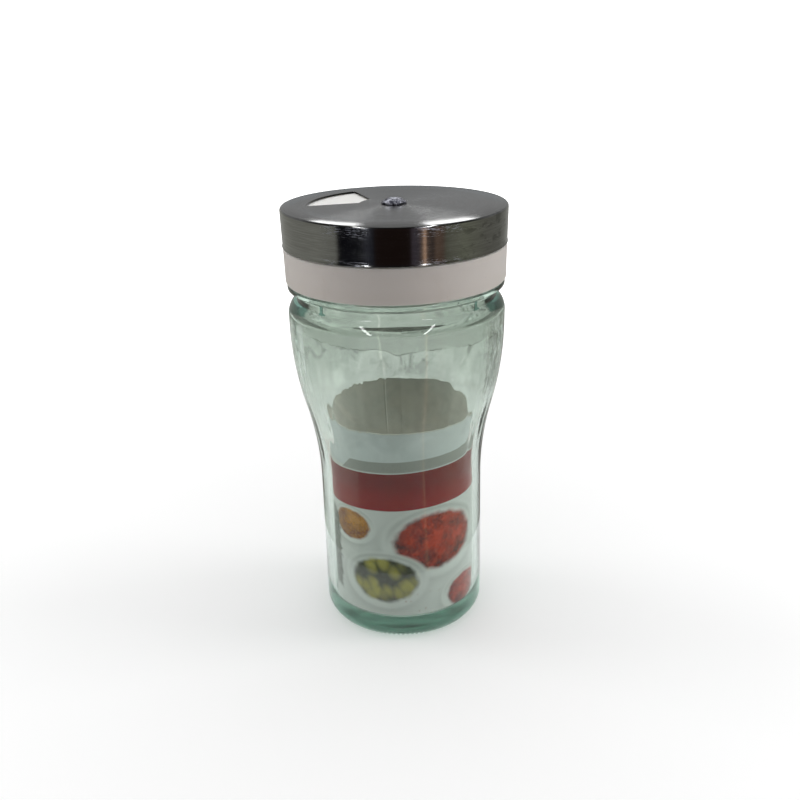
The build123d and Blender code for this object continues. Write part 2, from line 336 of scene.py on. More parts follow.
class Sheet:
    """Adds nodes to a shader or geometry tree, wired as they are named."""

    def __init__(self, tree: Tree) -> None:
        """Takes a tree to work on."""
        self.tree = tree

    def add(self, kind: str, inputs: Optional[dict] = None, **settings: object) -> bpy.types.Node:
        """Adds a node.

        Args:
            kind: the node's type.
            inputs: a number, colour or wire for each input, by name or place.
            settings: properties of the node.

        Returns:
            The node.
        """
        node = self.tree.nodes.new(kind)
        for name, value in settings.items():
            setattr(node, name, value)
        for key, value in (inputs or {}).items():
            if isinstance(value, Wire):
                self.tree.links.new(value.socket, node.inputs[key])
            else:
                node.inputs[key].default_value = value
        return node

    def wire(self, kind: str, inputs: Optional[dict] = None, output: object = 0, **settings: object) -> Wire:
        """Adds a node, as add does, and takes the output of that name or place."""
        return Wire(self, self.add(kind, inputs, **settings).outputs[output])

    def math(self, operation: str, *values: object) -> Wire:
        """Works out one number from one or two."""
        return self.wire("ShaderNodeMath", dict(enumerate(values)), operation=operation)

    def most(self, *values: Wire) -> Wire:
        """The largest of some numbers."""
        return reduce(Wire.at_least, values)

    def join(self, x: object, y: object, z: object = 0.0) -> Wire:
        """Makes a vector of three numbers."""
        return self.wire("ShaderNodeCombineXYZ", {0: x, 1: y, 2: z})

    def split(self, vector: Wire) -> list[Wire]:
        """The three numbers of a vector."""
        return [Wire(self, output) for output in self.add("ShaderNodeSeparateXYZ", {0: vector}).outputs]

    def place(self) -> Wire:
        """The place on the object, in metres."""
        return self.wire("ShaderNodeTexCoord", output="Object")

    def own(self, name: str) -> Wire:
        """A number stored on the piece's corners."""
        return self.wire("ShaderNodeAttribute", output="Fac", attribute_name=name)

    def ray(self, *kinds: str) -> Wire:
        """One for rays of these kinds and nothing for others."""
        outputs = self.add("ShaderNodeLightPath").outputs
        return self.most(*(Wire(self, outputs[f"Is {kind} Ray"]) for kind in kinds))

    def cloud(
        self, vector: Wire, scale: float, detail: float = 2.0, rough: float = 0.5,
        turn: Optional[Wire] = None, skew: float = 0.0,
    ) -> Wire:
        """Soft noise from 0 to 1.

        Args:
            vector: the place that it is read at.
            scale: its fineness.
            detail: how many finer layers it has.
            rough: how strong they are.
            turn: a fourth coordinate.
            skew: how far it is distorted.

        Returns:
            The noise.
        """
        inputs = {"Vector": vector, "Scale": scale, "Detail": detail, "Roughness": rough, "Distortion": skew}
        if turn is not None:
            inputs["W"] = turn
        return self.wire("ShaderNodeTexNoise", inputs, noise_dimensions="3D" if turn is None else "4D")

    def cells(self, vector: Wire, scale: float, uneven: float = 1.0) -> Wire:
        """Distance from the nearest of many scattered points."""
        inputs = {"Vector": vector, "Scale": scale, "Randomness": uneven}
        return self.wire("ShaderNodeTexVoronoi", inputs, output="Distance")

    def tint(self, share: object, one: object, two: object) -> Wire:
        """Blends one colour into another."""
        one, two = (value if isinstance(value, Wire) else (*value, 1.0) for value in (one, two))
        return self.wire("ShaderNodeMix", {0: share, 6: one, 7: two}, output=2, data_type="RGBA")

    def over(self, colour: object, *layers: tuple[object, object]) -> Wire:
        """Lays colours over another, each after its share, from the lowest up."""
        for share, own in layers:
            colour = self.tint(share, colour, own)
        return colour

    def ramp(self, value: Wire, stops: Sequence[tuple[float, Colour]]) -> Wire:
        """Colours by place between 0 and 1, from stops in order."""
        node = self.add("ShaderNodeValToRGB", {0: value})
        elements = node.color_ramp.elements
        for k, (place, colour) in enumerate(stops):
            stop = elements[k] if k < 2 else elements.new(1.0)
            stop.position, stop.color = place, (*colour, 1.0)
        return Wire(self, node.outputs[0])

    def bump(self, height: Wire, depth: float, strength: float = 1.0, under: Optional[Wire] = None) -> Wire:
        """A surface normal from a height map whose full range is depth millimetres, over another normal if given."""
        inputs = {"Height": height, "Distance": depth * MM, "Strength": strength}
        if under is not None:
            inputs["Normal"] = under
        return self.wire("ShaderNodeBump", inputs)

    def surface(self, name: str, **inputs: object) -> Wire:
        """Adds the main shader, with inputs named in snake case."""
        named = {key.replace("_", " ").title().replace("Ior", "IOR"): value for key, value in inputs.items()}
        return self.wire("ShaderNodeBsdfPrincipled", named, label=name)

    def glow(self, colour: object, strength: object) -> Wire:
        """Adds a shader that gives light."""
        return self.wire("ShaderNodeEmission", {"Color": colour, "Strength": strength})

    def mix(self, share: Wire, one: Wire, two: Wire) -> Wire:
        """Blends one shader into another."""
        return self.wire("ShaderNodeMixShader", {0: share, 1: one, 2: two})

    def show(self, **shaders: Wire) -> None:
        """Ends a material with its surface, and its volume if given."""
        self.add("ShaderNodeOutputMaterial", {name.title(): shader for name, shader in shaders.items()})


def new_material(name: str) -> tuple[Material, Sheet]:
    """An empty material and its sheet."""
    material = bpy.data.materials.new(name)
    material.use_nodes = True
    material.node_tree.nodes.clear()
    return material, Sheet(material.node_tree)


def grey(level: float) -> tuple[float, float, float, float]:
    """A grey for a colour input."""
    return level, level, level, 1.0


def rgb(red: float, green: float, blue: float) -> Colour:
    """Linear colour from one written as 0 to 255 on a screen."""
    def linear(level: float) -> float:
        """Undoes the screen's curve."""
        level /= 255
        return level / 12.92 if level <= 0.04045 else ((level + 0.055) / 1.055) ** 2.4
    return linear(red), linear(green), linear(blue)


def geometry_tree(name: str, sizes: dict[str, str]) -> tuple[Tree, Sheet, dict[str, Wire]]:
    """Starts a geometry tree.

    Args:
        name: the tree's name.
        sizes: kind of each named input, after the geometry.

    Returns:
        The tree, its sheet and its inputs by name.
    """
    tree = bpy.data.node_groups.new(name, "GeometryNodeTree")
    for label, kind in {"Geometry": "Geometry", **sizes, "Finish": "Material"}.items():
        tree.interface.new_socket(label, in_out="INPUT", socket_type=f"NodeSocket{kind}")
    tree.interface.new_socket("Geometry", in_out="OUTPUT", socket_type="NodeSocketGeometry")
    sheet = Sheet(tree)
    outputs = sheet.add("NodeGroupInput").outputs
    return tree, sheet, {socket.name: Wire(sheet, socket) for socket in outputs if socket.name}


def end_tree(sheet: Sheet, shape: Wire, finish: Wire) -> None:
    """Ends a geometry tree by realizing its copies and setting their material."""
    real = sheet.wire("GeometryNodeRealizeInstances", {0: shape})
    sheet.add("NodeGroupOutput", {0: sheet.wire("GeometryNodeSetMaterial", {"Geometry": real, "Material": finish})})


def plain(piece: Piece, modifier: bpy.types.Modifier) -> None:
    """Keeps what a modifier makes of a piece as its mesh, and takes the modifier off."""
    graph = bpy.context.evaluated_depsgraph_get()
    mesh = bpy.data.meshes.new_from_object(
        piece.evaluated_get(graph), preserve_all_data_layers=True, depsgraph=graph
    )
    piece.modifiers.remove(modifier)
    old, piece.data = piece.data, mesh
    name = old.name
    bpy.data.meshes.remove(old)
    mesh.name = name


def grown(piece: Piece, tree: Tree, **sizes: object) -> None:
    """Runs a geometry tree on a piece and keeps the outcome as its plain mesh.

    Args:
        piece: the object to work on.
        tree: the tree.
        sizes: the tree's inputs, by name in snake case.
    """
    modifier = piece.modifiers.new(tree.name, "NODES")
    modifier.node_group = tree
    for item in tree.interface.items_tree:
        key = item.name.lower().replace(" ", "_")
        if item.in_out == "INPUT" and key in sizes:
            modifier[item.identifier] = sizes[key]
    plain(piece, modifier)


def thread_tree() -> Tree:
    """A screw thread raised on the wall of a turned piece."""
    names = ("Wall", "Foot", "Pitch", "Turns", "Crest", "Half Width", "Start")
    tree, sheet, size = geometry_tree("screw_thread", dict.fromkeys(names, "Float"))
    x, y, z = sheet.split(sheet.wire("GeometryNodeInputPosition"))
    radius = (x * x + y * y).root()
    turn = sheet.math("ARCTAN2", y, x) / (2 * pi) + size["Start"]
    climb = (z - size["Foot"]) / size["Pitch"]
    along = turn + sheet.math("ROUND", climb - turn)
    ridge = (abs((climb - along) * size["Pitch"]) / size["Half Width"]).rise(1.0, 0.25)
    fade = along.rise(0.0, 0.05) * (size["Turns"] - along).rise(0.0, 0.05)
    near = abs(radius - size["Wall"]).fall(0.02 * MM, 0.12 * MM)
    push = ridge * fade * near * size["Crest"] / radius
    inputs = {"Geometry": size["Geometry"], "Offset": sheet.join(push * x, push * y)}
    end_tree(sheet, sheet.wire("GeometryNodeSetPosition", inputs), size["Finish"])
    return tree


def knurl_tree() -> Tree:
    """Radial grooves cut up into the ring that a piece stands on."""
    names = ("Count", "Depth", "Inner Radius", "Outer Radius", "Reach")
    tree, sheet, size = geometry_tree("knurled_foot", dict.fromkeys(names, "Float"))
    x, y, z = sheet.split(sheet.wire("GeometryNodeInputPosition"))
    radius = (x * x + y * y).root()
    groove = sheet.math("COSINE", sheet.math("ARCTAN2", y, x) * size["Count"]).rise(-0.4, 0.7)
    inner = (radius - size["Inner Radius"]).rise(0.0, 0.6 * MM)
    outer = (size["Outer Radius"] - radius).rise(0.0, 1.2 * MM)
    low = z.fall(size["Reach"] * 0.6, size["Reach"])
    lift = groove * inner * outer * low * size["Depth"]
    inputs = {"Geometry": size["Geometry"], "Offset": sheet.join(0.0, 0.0, lift)}
    end_tree(sheet, sheet.wire("GeometryNodeSetPosition", inputs), size["Finish"])
    return tree


def perforation_tree() -> Tree:
    """Ribs added under a plate, then holes cut through it where a drill is copied to each place."""
    kinds = dict.fromkeys(("Places", "Drill", "Openings", "Rib"), "Object")
    tree, sheet, size = geometry_tree("perforated_plate", {**kinds, "Ribs": "Int", "First Rib": "Float"})

    def helper(name: str) -> Wire:
        """The mesh of one of the objects that help."""
        return sheet.wire("GeometryNodeObjectInfo", {"Object": size[name]}, output="Geometry")

    def copies(points: Wire, name: str, **placing: Wire) -> Wire:
        """Real copies of a helper on points."""
        inputs = {"Points": points, "Instance": helper(name), **placing}
        return sheet.wire("GeometryNodeRealizeInstances", {0: sheet.wire("GeometryNodeInstanceOnPoints", inputs)})

    def combined(operation: str, inputs: dict[str, Wire], *others: Wire) -> Wire:
        """Solids added together, or cut from the one in the inputs."""
        node = sheet.add("GeometryNodeMeshBoolean", inputs, operation=operation, solver="MANIFOLD")
        for other in others:
            sheet.tree.links.new(other.socket, node.inputs["Mesh 2"])
        return Wire(sheet, node.outputs[0])

    wide = sheet.wire("GeometryNodeInputNamedAttribute", {"Name": "bore"}, data_type="FLOAT")
    hub = sheet.wire("GeometryNodeMeshLine", {"Count": size["Ribs"], "Offset": (0, 0, 0)})
    angle = sheet.wire("GeometryNodeInputIndex") * (2 * pi) / size["Ribs"] + size["First Rib"]
    ribs = copies(hub, "Rib", Rotation=sheet.join(0.0, 0.0, angle))
    ribbed = combined("UNION", {}, size["Geometry"], ribs)
    holes = copies(helper("Places"), "Drill", Scale=sheet.join(wide, wide, 1.0))
    end_tree(sheet, combined("DIFFERENCE", {"Mesh 1": ribbed}, holes, helper("Openings")), size["Finish"])
    return tree


@dataclass(frozen=True)
class Thread:
    """A screw thread on a round wall, raised outwards, or inwards where its crest is negative."""

    wall: float
    turns: float
    crest: float
    half_width: float
    start: float
    foot: float = 113.4
    pitch: float = 4.233

    def cut(self, piece: Piece, finish: Material) -> None:
        """Raises the thread on a piece."""
        names = ("wall", "foot", "pitch", "crest", "half_width")
        lengths = {name: getattr(self, name) * MM for name in names}
        grown(piece, thread_tree(), turns=self.turns, start=self.start, finish=finish, **lengths)


# Finishes. Heights and radii in them are in metres, and in millimetres only in the label's print.


class Finish:
    """What a piece is made of and how its surface looks."""

    slot: Slot

    def paint(self, sheet: Sheet) -> None:
        """Adds the finish's nodes to an empty sheet."""
        raise NotImplementedError

    def material(self) -> Material:
        """Builds the material, named after its slot."""
        material, sheet = new_material(self.slot.value)
        self.paint(sheet)
        return material


@dataclass(frozen=True)
class GlassFinish(Finish):
    """Cheap pressed soda glass: grey-green, dusty, with dried stains on its inner wall."""

    slot: Slot = Slot.GLASS
    tint: Colour = (0.905, 0.93, 0.90)
    # Grey-green of the upper glass, darkened much further as painted shade.
    upper_tint_and_shade: Colour = (0.59, 0.62, 0.58)
    volume: Colour = (0.67, 0.81, 0.76)
    density: float = 110.0
    haze: Colour = rgb(214, 222, 214)
    upper_haze: Colour = rgb(176, 184, 170)
    stain: Colour = rgb(88, 96, 80)
    caked: Colour = rgb(56, 62, 40)
    cream: Colour = (1.0, 0.98, 0.90)
    moulded: Colour = (0.08, 0.20, 0.17)
    # Painted shade colours where the shoulder is seen on edge.
    deep: Colour = (0.06, 0.17, 0.14)
    deepest_edge_shade: Colour = (0.015, 0.055, 0.042)
    # Painted shade of the dark line at the front where the neck meets the bulge.
    slit_shade: Colour = (0.03, 0.03, 0.025)
    shoulder_foot: float = 0.098
    grime_angle: float = -27.0
    streak_angle: float = -99.1
    streak_height: float = 0.096
    streak_lean: float = -260.0  # degrees for each metre of height
    slit_angle: float = -89.4
    slit_reach: float = 24.0
    slit_height: float = 0.1008
    slit_half_width: float = 0.00060
    lug_angles: tuple[float, float] = (-134.9, -42.0)
    seams: tuple[float, float] = (-97.0, 83.0)

    def near(self, around: Wire, angle: object, low: float, high: float) -> Wire:
        """One within low degrees of an angle and nothing beyond high."""
        return abs(around - angle).fall(low, high)

    def lugs(self, sheet: Sheet, around: Wire, z: Wire) -> Wire:
        """Small moulded lugs with a foot, on the neck between shoulder and bead."""
        parts = []
        for angle in self.lug_angles:
            parts.append(self.near(around, angle, 0.9, 1.5) * z.span(0.1022, 0.1056, 0.0003))
            parts.append(self.near(around, angle + 0.4, 2.0, 2.8) * z.span(0.10215, 0.10265, 0.0002))
        return sheet.most(*parts)

    def dirt(self, sheet: Sheet, place: Wire, around: Wire, z: Wire) -> tuple[Wire, Wire]:
        """Dust, flow line and dried stains on the inner wall, and runs on the outer one.

        Args:
            sheet: the material's sheet.
            place: the place on the glass.
            around: its angle in degrees.
            z: its height.

        Returns:
            How far the dirt covers the glass, and its colour.
        """
        inside = sheet.own("inside")
        flow = sheet.own("flow") + (sheet.cloud(place, 900.0) - 0.5) * 0.5
        wisps = sheet.cloud(place, 75.0, 4.0, 0.55, skew=0.6)
        blots = sheet.cloud(place, 150.0, 4.0, 0.6, skew=0.9)
        below = flow.fall(-0.1, 0.1)
        layers = (
            ((1 - below) * z.fall(0.0975, 0.1005) * 0.30, self.upper_haze),
            (wisps.rise(0.36, 0.60) * below * z.rise(0.050, 0.080) * 0.18, self.haze),
            (blots.rise(0.47, 0.68) * below * flow.rise(-9.0, -1.0) * 0.62, self.stain),
            (flow.span(-0.20, 0.04, 0.16) * blots.rise(0.38, 0.52) * 0.65, self.stain),
        )
        cover, colour = layers[0]
        for share, own in layers[1:]:
            colour = sheet.tint(share / (share + cover + 0.001), colour, own)
            cover = cover + share * (1 - cover)
        grain = sheet.cloud(place, 1400.0, 1.0)
        colour = sheet.tint(grain.rise(0.45, 0.75) * 0.3, colour, self.stain)
        caked = self.darkening(sheet, around, z) * (1 - inside)
        return cover * inside + caked, sheet.tint(caked, colour, self.caked)

    def darkening(self, sheet: Sheet, around: Wire, z: Wire) -> Wire:
        """Cover of the dried runs at the right."""
        runs = sheet.cloud(sheet.join(around * 0.45, z * 210.0), 1.0, 5.0, 0.75)
        zone = around.span(self.grime_angle - 12, self.grime_angle + 11, 8.0)
        return zone * z.span(0.077, 0.0985, 0.006) * runs.rise(0.43, 0.56) * 0.66

    def streak(self, sheet: Sheet, around: Wire, z: Wire) -> Wire:
        """Share of the crooked cream run near the middle."""
        bend = (sheet.cloud(sheet.join(0.0, 0.0, z), 260.0, 1.0) - 0.5) * 4.0
        lean = (z - self.streak_height) * self.streak_lean
        line = self.near(around, bend + lean + self.streak_angle, 0.25, 0.9)
        broken = sheet.cloud(sheet.join(1.0, 0.0, z), 520.0).rise(0.36, 0.52)
        return line * broken * z.span(0.0885, 0.1035, 0.003) * 0.85

    def slit(self, around: Wire, z: Wire) -> Wire:
        """Share of the dark line of painted shade at the front where the neck meets the bulge, drawn out to points."""
        off = abs(around - self.slit_angle) / self.slit_reach
        half = (1 - off).at_least(0.0).root() * self.slit_half_width
        return (abs(z - self.slit_height) - half).fall(-0.00010, 0.00002)

    def corners(self, sheet: Sheet, z: Wire) -> Wire:
        """Share of the painted deep green shade where the shoulder's wall is seen on edge."""
        facing = sheet.wire("ShaderNodeLayerWeight", {"Blend": 0.5}, output="Facing")
        turned_away = facing - (z - self.shoulder_foot) * 25.0
        low_edge = z - (1 - facing) * 0.0042
        return turned_away.rise(0.36, 0.42) * low_edge.rise(0.0982, 0.0987) * z.fall(0.1025, 0.1029)

    def paint(self, sheet: Sheet) -> None:
        """Adds the finish's nodes to an empty sheet."""
        place = sheet.place()
        x, y, z = sheet.split(place)
        around = sheet.math("ARCTAN2", y, x) * (180 / pi)
        inside = sheet.own("inside")
        outside = 1 - inside
        lugs = self.lugs(sheet, around, z) * outside
        wisps = sheet.cloud(place, 60.0)
        seam = sheet.most(*(self.near(around, angle, 0.15, 0.6) for angle in self.seams))
        heel = z.fall(0.003, 0.006) * outside
        colour = sheet.over(
            self.tint,
            # Darker glass higher up: its own tint plus painted shade.
            (z.rise(0.065, 0.090), self.upper_tint_and_shade),
            (self.streak(sheet, around, z) * inside, self.cream),
            (lugs, self.moulded),
            (self.slit(around, z) * outside, self.slit_shade),
            # Painted shade where the shoulder is seen on edge, darker at the right than at the left.
            (self.corners(sheet, z) * outside, sheet.tint(x.rise(-0.01, 0.01), self.deep, self.deepest_edge_shade)),
        )
        glass = sheet.surface(
            "glass",
            base_color=colour,
            transmission_weight=1.0,
            ior=1.5,
            roughness=wisps.spread(0.4, 1.0) * 0.02 + heel * 0.16,
            normal=sheet.bump(seam * outside * 1.2 + lugs * 3.0 + wisps * 0.4, 0.05, 0.6),
        )
        cover, soil = self.dirt(sheet, place, around, z)
        film = sheet.surface("film", base_color=soil, roughness=0.75)
        passed = sheet.wire("ShaderNodeBsdfTransparent", {0: (0.98, 0.99, 0.98, 1.0)})
        soaked = {"Color": (*self.volume, 1.0), "Density": self.density}
        sheet.show(
            surface=sheet.mix(sheet.ray("Shadow", "Diffuse"), sheet.mix(cover, glass, film), passed),
            volume=sheet.wire("ShaderNodeVolumeAbsorption", soaked),
        )


@dataclass(frozen=True)
class PlasticFinish(Finish):
    """White moulded plastic, a little scuffed and soiled, and greyer on the collar."""

    slot: Slot = Slot.PLASTIC
    base: Colour = rgb(240, 238, 234)
    soil: Colour = rgb(196, 186, 176)
    collar_grey: Colour = rgb(216, 209, 204)
    roughness: float = 0.38

    def paint(self, sheet: Sheet) -> None:
        """Adds the finish's nodes to an empty sheet."""
        place = sheet.place()
        z = sheet.split(place)[2]
        smear = sheet.cloud(place, 70.0, 4.0, 0.6, skew=0.8)
        fleck = sheet.cloud(place, 900.0)
        soiled = (smear.rise(0.52, 0.85) + z.fall(0.1075, 0.1125) * 0.35) * 0.45
        # Greyer below the ledge, on the collar.
        clean = sheet.tint(z.fall(0.1166, 0.1174), self.base, self.collar_grey)
        sheet.show(surface=sheet.surface(
            "plastic",
            base_color=sheet.tint(soiled + fleck.rise(0.74, 0.80) * 0.35, clean, self.soil),
            roughness=smear.spread(self.roughness - 0.08, self.roughness + 0.12),
            normal=sheet.bump(fleck, 0.02, 0.5),
            subsurface_weight=0.55,
            subsurface_radius=(1.0, 0.97, 0.92),
            subsurface_scale=3.0 * MM,
        ))


@dataclass(frozen=True)
class BrushedFinish(Finish):
    """Steel brushed in circles, on top and round the side."""

    slot: Slot = Slot.BRUSHED
    base: Colour = (0.31, 0.315, 0.315)
    dark: Colour = (0.22, 0.22, 0.215)
    # Dark colour of the smudges, and of the painted shade on the window's cut walls.
    darkening: Colour = (0.06, 0.06, 0.055)
    # Bluish colour of the painted reflection streaks round the side.
    painted_reflection: Colour = (0.55, 0.58, 0.70)
    dish_start: float = 0.0256
    dish_width: float = 0.006
    dish_fall: float = 0.45  # millimetres
    roughness: float = 0.16
    anisotropy: float = 0.85
    rotation: float = 0.25
    radius: float = 0.0315
    line_width: float = 0.00026
    line_length: float = 0.009

    def paint(self, sheet: Sheet) -> None:
        """Adds the finish's nodes to an empty sheet."""
        place = sheet.place()
        x, y, z = sheet.split(place)
        radius = (x * x + y * y).root().at_least(1e-4)
        across, along = x / radius, y / radius

        def brushed(width: float, length: float, detail: float, rough: float) -> Wire:
            """Noise drawn out in circles, that many times the lines' width and length."""
            fine, laps = 1 / (self.line_width * width), self.radius / (self.line_length * length)
            spot = sheet.join(radius * fine, z * fine, across * laps)
            return sheet.cloud(spot, 1.0, detail, rough, turn=along * laps)

        lines, bands = brushed(1, 1, 2.0, 0.6), brushed(9, 3, 1.0, 0.5)
        smear = sheet.cloud(place, 120.0, 3.0, 0.6, skew=0.5)
        upright = sheet.split(sheet.wire("ShaderNodeNewGeometry", output="Normal"))[2]
        wall = radius.rise(0.0300, 0.0308)
        # Painted reflections: bluish, duller streaks round the side.
        streaks = self.streaks(sheet, across, along, z) * upright.fall(0.2, 0.5) * wall
        spot = sheet.join(across * 3.0, along * 3.0, z * 260.0)
        smudge = sheet.cloud(spot, 2.2, 4.0, 0.7, skew=0.4).rise(0.52, 0.60) * across.rise(0.45, 0.60) * wall
        # Painted shade: the window's cut walls are coloured near black.
        punched = upright.fall(0.3, 0.7) * z.rise(0.1270, 0.1271) * radius.fall(0.0290, 0.0295)
        colour = sheet.over(
            self.dark,
            (lines.rise(0.25, 0.75), self.base),
            (smudge * 0.45, self.darkening),
            (smear.rise(0.55, 0.8) * 0.25, self.dark),
            (streaks * 0.7, self.painted_reflection),
            (punched, self.darkening),
        )
        dish = ((radius - self.dish_start) / self.dish_width).at_least(0.0)
        bowed = sheet.bump(dish * dish * -1.0, self.dish_fall)
        polish = lines.spread(self.roughness - 0.05, self.roughness + 0.05)
        sheet.show(surface=sheet.surface(
            "steel",
            base_color=colour,
            metallic=1 - streaks * 0.42,
            roughness=polish + bands.spread(-0.03, 0.03) + streaks * 0.3,
            anisotropic=self.anisotropy,
            anisotropic_rotation=self.rotation,
            normal=sheet.bump(lines, 0.007, 0.7, under=bowed),
            tangent=sheet.wire("ShaderNodeTangent", direction_type="RADIAL", axis="Z"),
        ))

    def streaks(self, sheet: Sheet, across: Wire, along: Wire, z: Wire) -> Wire:
        """Short bright streaks round the side, painted reflections, thickest near both rims and beside the middle."""
        rims = z.rise(0.1236, 0.1266) + z.fall(0.1180, 0.1194) * 0.7 + 0.12
        short = sheet.cloud(sheet.join(z * 5600.0, across * 14.0, along * 14.0), 1.0, 3.0, 0.7, skew=0.4)
        aside = abs(across + 0.03)
        return short.rise(0.52, 0.64) * rims * aside.rise(0.14, 0.24) * aside.fall(0.52, 0.60)


@dataclass(frozen=True)
class BrightFinish(Finish):
    """Bright steel of the rivet and its washer, with fine marks of the riveting tool."""

    slot: Slot = Slot.BRIGHT
    base: Colour = (0.34, 0.35, 0.40)
    dark: Colour = (0.05, 0.05, 0.07)

    def paint(self, sheet: Sheet) -> None:
        """Adds the finish's nodes to an empty sheet."""
        marks = sheet.cloud(sheet.place(), 800.0, 3.0, 0.6)
        sheet.show(surface=sheet.surface(
            "rivet",
            base_color=sheet.tint(marks.rise(0.42, 0.60), self.base, self.dark),
            metallic=1.0,
            roughness=marks.spread(0.22, 0.50),
            normal=sheet.bump(marks, 0.05, 0.5),
        ))


@dataclass(frozen=True)
class FoamFinish(Finish):
    """Off-white plastic foam of the sealing liner, with a fine open grain."""

    slot: Slot = Slot.FOAM
    base: Colour = rgb(240, 239, 234)
    dent: Colour = rgb(205, 203, 196)

    def paint(self, sheet: Sheet) -> None:
        """Adds the finish's nodes to an empty sheet."""
        cells = sheet.cells(sheet.place(), 2600.0)
        sheet.show(surface=sheet.surface(
            "foam",
            base_color=sheet.tint(cells.rise(0.2, 0.7), self.dent, self.base),
            roughness=0.85,
            normal=sheet.bump(cells, 0.08, 0.6),
        ))


@dataclass(frozen=True)
class Bowl:
    """A round bowl in the label's picture, by its middle as angle and height, and its fill."""

    angle: float
    height: float
    radius: float
    light: Colour
    deep: Colour
    grain: float
    pods: bool = False


@dataclass(frozen=True)
class LabelPrint(Finish):
    """The label's print in millimetres: pale head, grey stripe, red band and soft picture of filled bowls."""

    slot: Slot = Slot.PAPER
    radius: float = 21.76
    first_angle: float = 76.0
    reach: float = 144.0
    head: Colour = rgb(224, 229, 229)
    dull_head: Colour = rgb(212, 218, 218)
    stripe: Colour = rgb(166, 166, 160)
    line: Colour = rgb(225, 228, 222)
    red: Colour = rgb(156, 12, 8)
    deep_red: Colour = rgb(128, 8, 6)
    worn_red: Colour = rgb(186, 84, 72)
    white: Colour = rgb(233, 232, 230)
    dull_white: Colour = rgb(230, 231, 229)
    china: Colour = rgb(240, 240, 238)
    seed: Colour = rgb(150, 96, 50)
    fold: Colour = rgb(176, 176, 172)
    # The unprinted side's off-white, raised above the printed white as painted light inside the roll.
    bare: Colour = rgb(255, 250, 242)
    dull_bare: Colour = rgb(238, 232, 224)
    # Grey of the torn strip's back, darkened as painted shade of its lifted edge.
    torn: Colour = rgb(84, 88, 78)
    fibre: Colour = rgb(218, 214, 202)
    slope: float = 0.045
    slope_angle: float = 262.0
    stripe_angle: float = 223.0
    seed_angles: tuple[float, float] = (250.0, 262.0)
    torn_angles: tuple[float, float] = (179.0, 207.5)
    torn_heights: tuple[float, float] = (15.0, 42.0)
    head_foot: float = 56.0
    stripe_foot: float = 56.0
    stripe_head: float = 59.3
    band_foot: float = 43.6
    band_head: float = 55.6
    bowls: tuple[Bowl, ...] = (
        Bowl(228.0, 37.0, 7.5, rgb(214, 146, 52), rgb(128, 62, 22), 1.8),
        Bowl(296.0, 32.5, 14.5, rgb(214, 62, 28), rgb(88, 10, 8), 1.4),
        Bowl(255.0, 20.0, 11.5, rgb(204, 190, 84), rgb(52, 54, 20), 0.30, True),
        Bowl(324.0, 12.0, 8.5, rgb(208, 60, 30), rgb(104, 16, 10), 1.8),
    )

    def across(self, angle: float) -> float:
        """How far along the paper an angle lies."""
        return radians(angle - self.first_angle) * self.radius

    def bowl(self, sheet: Sheet, bowl: Bowl, u: Wire, v: Wire, under: Wire) -> Wire:
        """Paints one bowl over the picture.

        Args:
            sheet: the material's sheet.
            bowl: the bowl.
            u: place along the paper.
            v: height on the paper.
            under: the colour so far.

        Returns:
            The colour with the bowl on it.
        """
        du, dv = u - self.across(bowl.angle), v - bowl.height

        def gap(shift_u: float, shift_v: float) -> Wire:
            """Distance from a point beside the bowl's middle, in radii."""
            a, b = du - shift_u, (dv - shift_v) * 1.32
            return (a * a + b * b).root() / bowl.radius

        off, spot = gap(0.0, 0.0), sheet.join(u, v)
        if bowl.pods:
            pods = sheet.cells(sheet.join(u * 0.8 + v * 0.5, v * 0.5 - u * 0.42), bowl.grain, 0.8)
            share = pods.rise(0.78, 0.22) * sheet.cloud(spot, 0.22, skew=0.5).spread(0.2, 1.3)
        else:
            lump = sheet.cloud(spot, bowl.grain / 6, 3.0, 0.6).rise(0.3, 0.7)
            powder = sheet.cloud(spot, bowl.grain, 2.0, 0.7).rise(0.3, 0.7)
            share = gap(1.5, 1.8).rise(1.15, 0.1) * 0.40 + lump * 0.75 + powder * 0.50 - 0.35
        lip = off.rise(0.86, 1.0) * off.fall(1.0, 1.12) * dv.rise(-2.0, 6.0)
        ragged = off + sheet.cloud(spot, 0.35, 3.0) * 0.16
        return sheet.over(
            under,
            (gap(-0.9, -1.3).fall(0.80, 1.42) * 0.5, self.fold),
            (off.fall(1.04, 1.20), self.china),
            (lip * 0.5, self.fold),
            (ragged.fall(0.84, 1.02), sheet.tint(share, bowl.deep, bowl.light)),
        )

    def painted_tear_shade(self, sheet: Sheet, u: Wire, v: Wire) -> tuple[Wire, Wire]:
        """The dark strip at the left: the torn paper's grey back, with painted shade of its lifted edge. Returns its
        share and colour.
        """
        ragged = sheet.cloud(sheet.join(u * 0.3, v), 1.6, 4.0, 0.75)
        left, right = map(self.across, self.torn_angles)
        right = ragged * 7.0 + right - v * 0.03 - v.rise(36, 41) * 2.0
        left = ragged * 9.0 + left + v * 0.04
        share = (u - left).rise(-0.4, 0.9) * (u - right).fall(-0.2, 0.25)
        share = share * (v + ragged * 4.0).span(*self.torn_heights, 2.5)
        threads = sheet.cloud(sheet.join(u * 2.6, v * 0.5), 1.0).rise(0.50, 0.62)
        return share, sheet.tint(threads * 0.6, self.torn, self.fold)

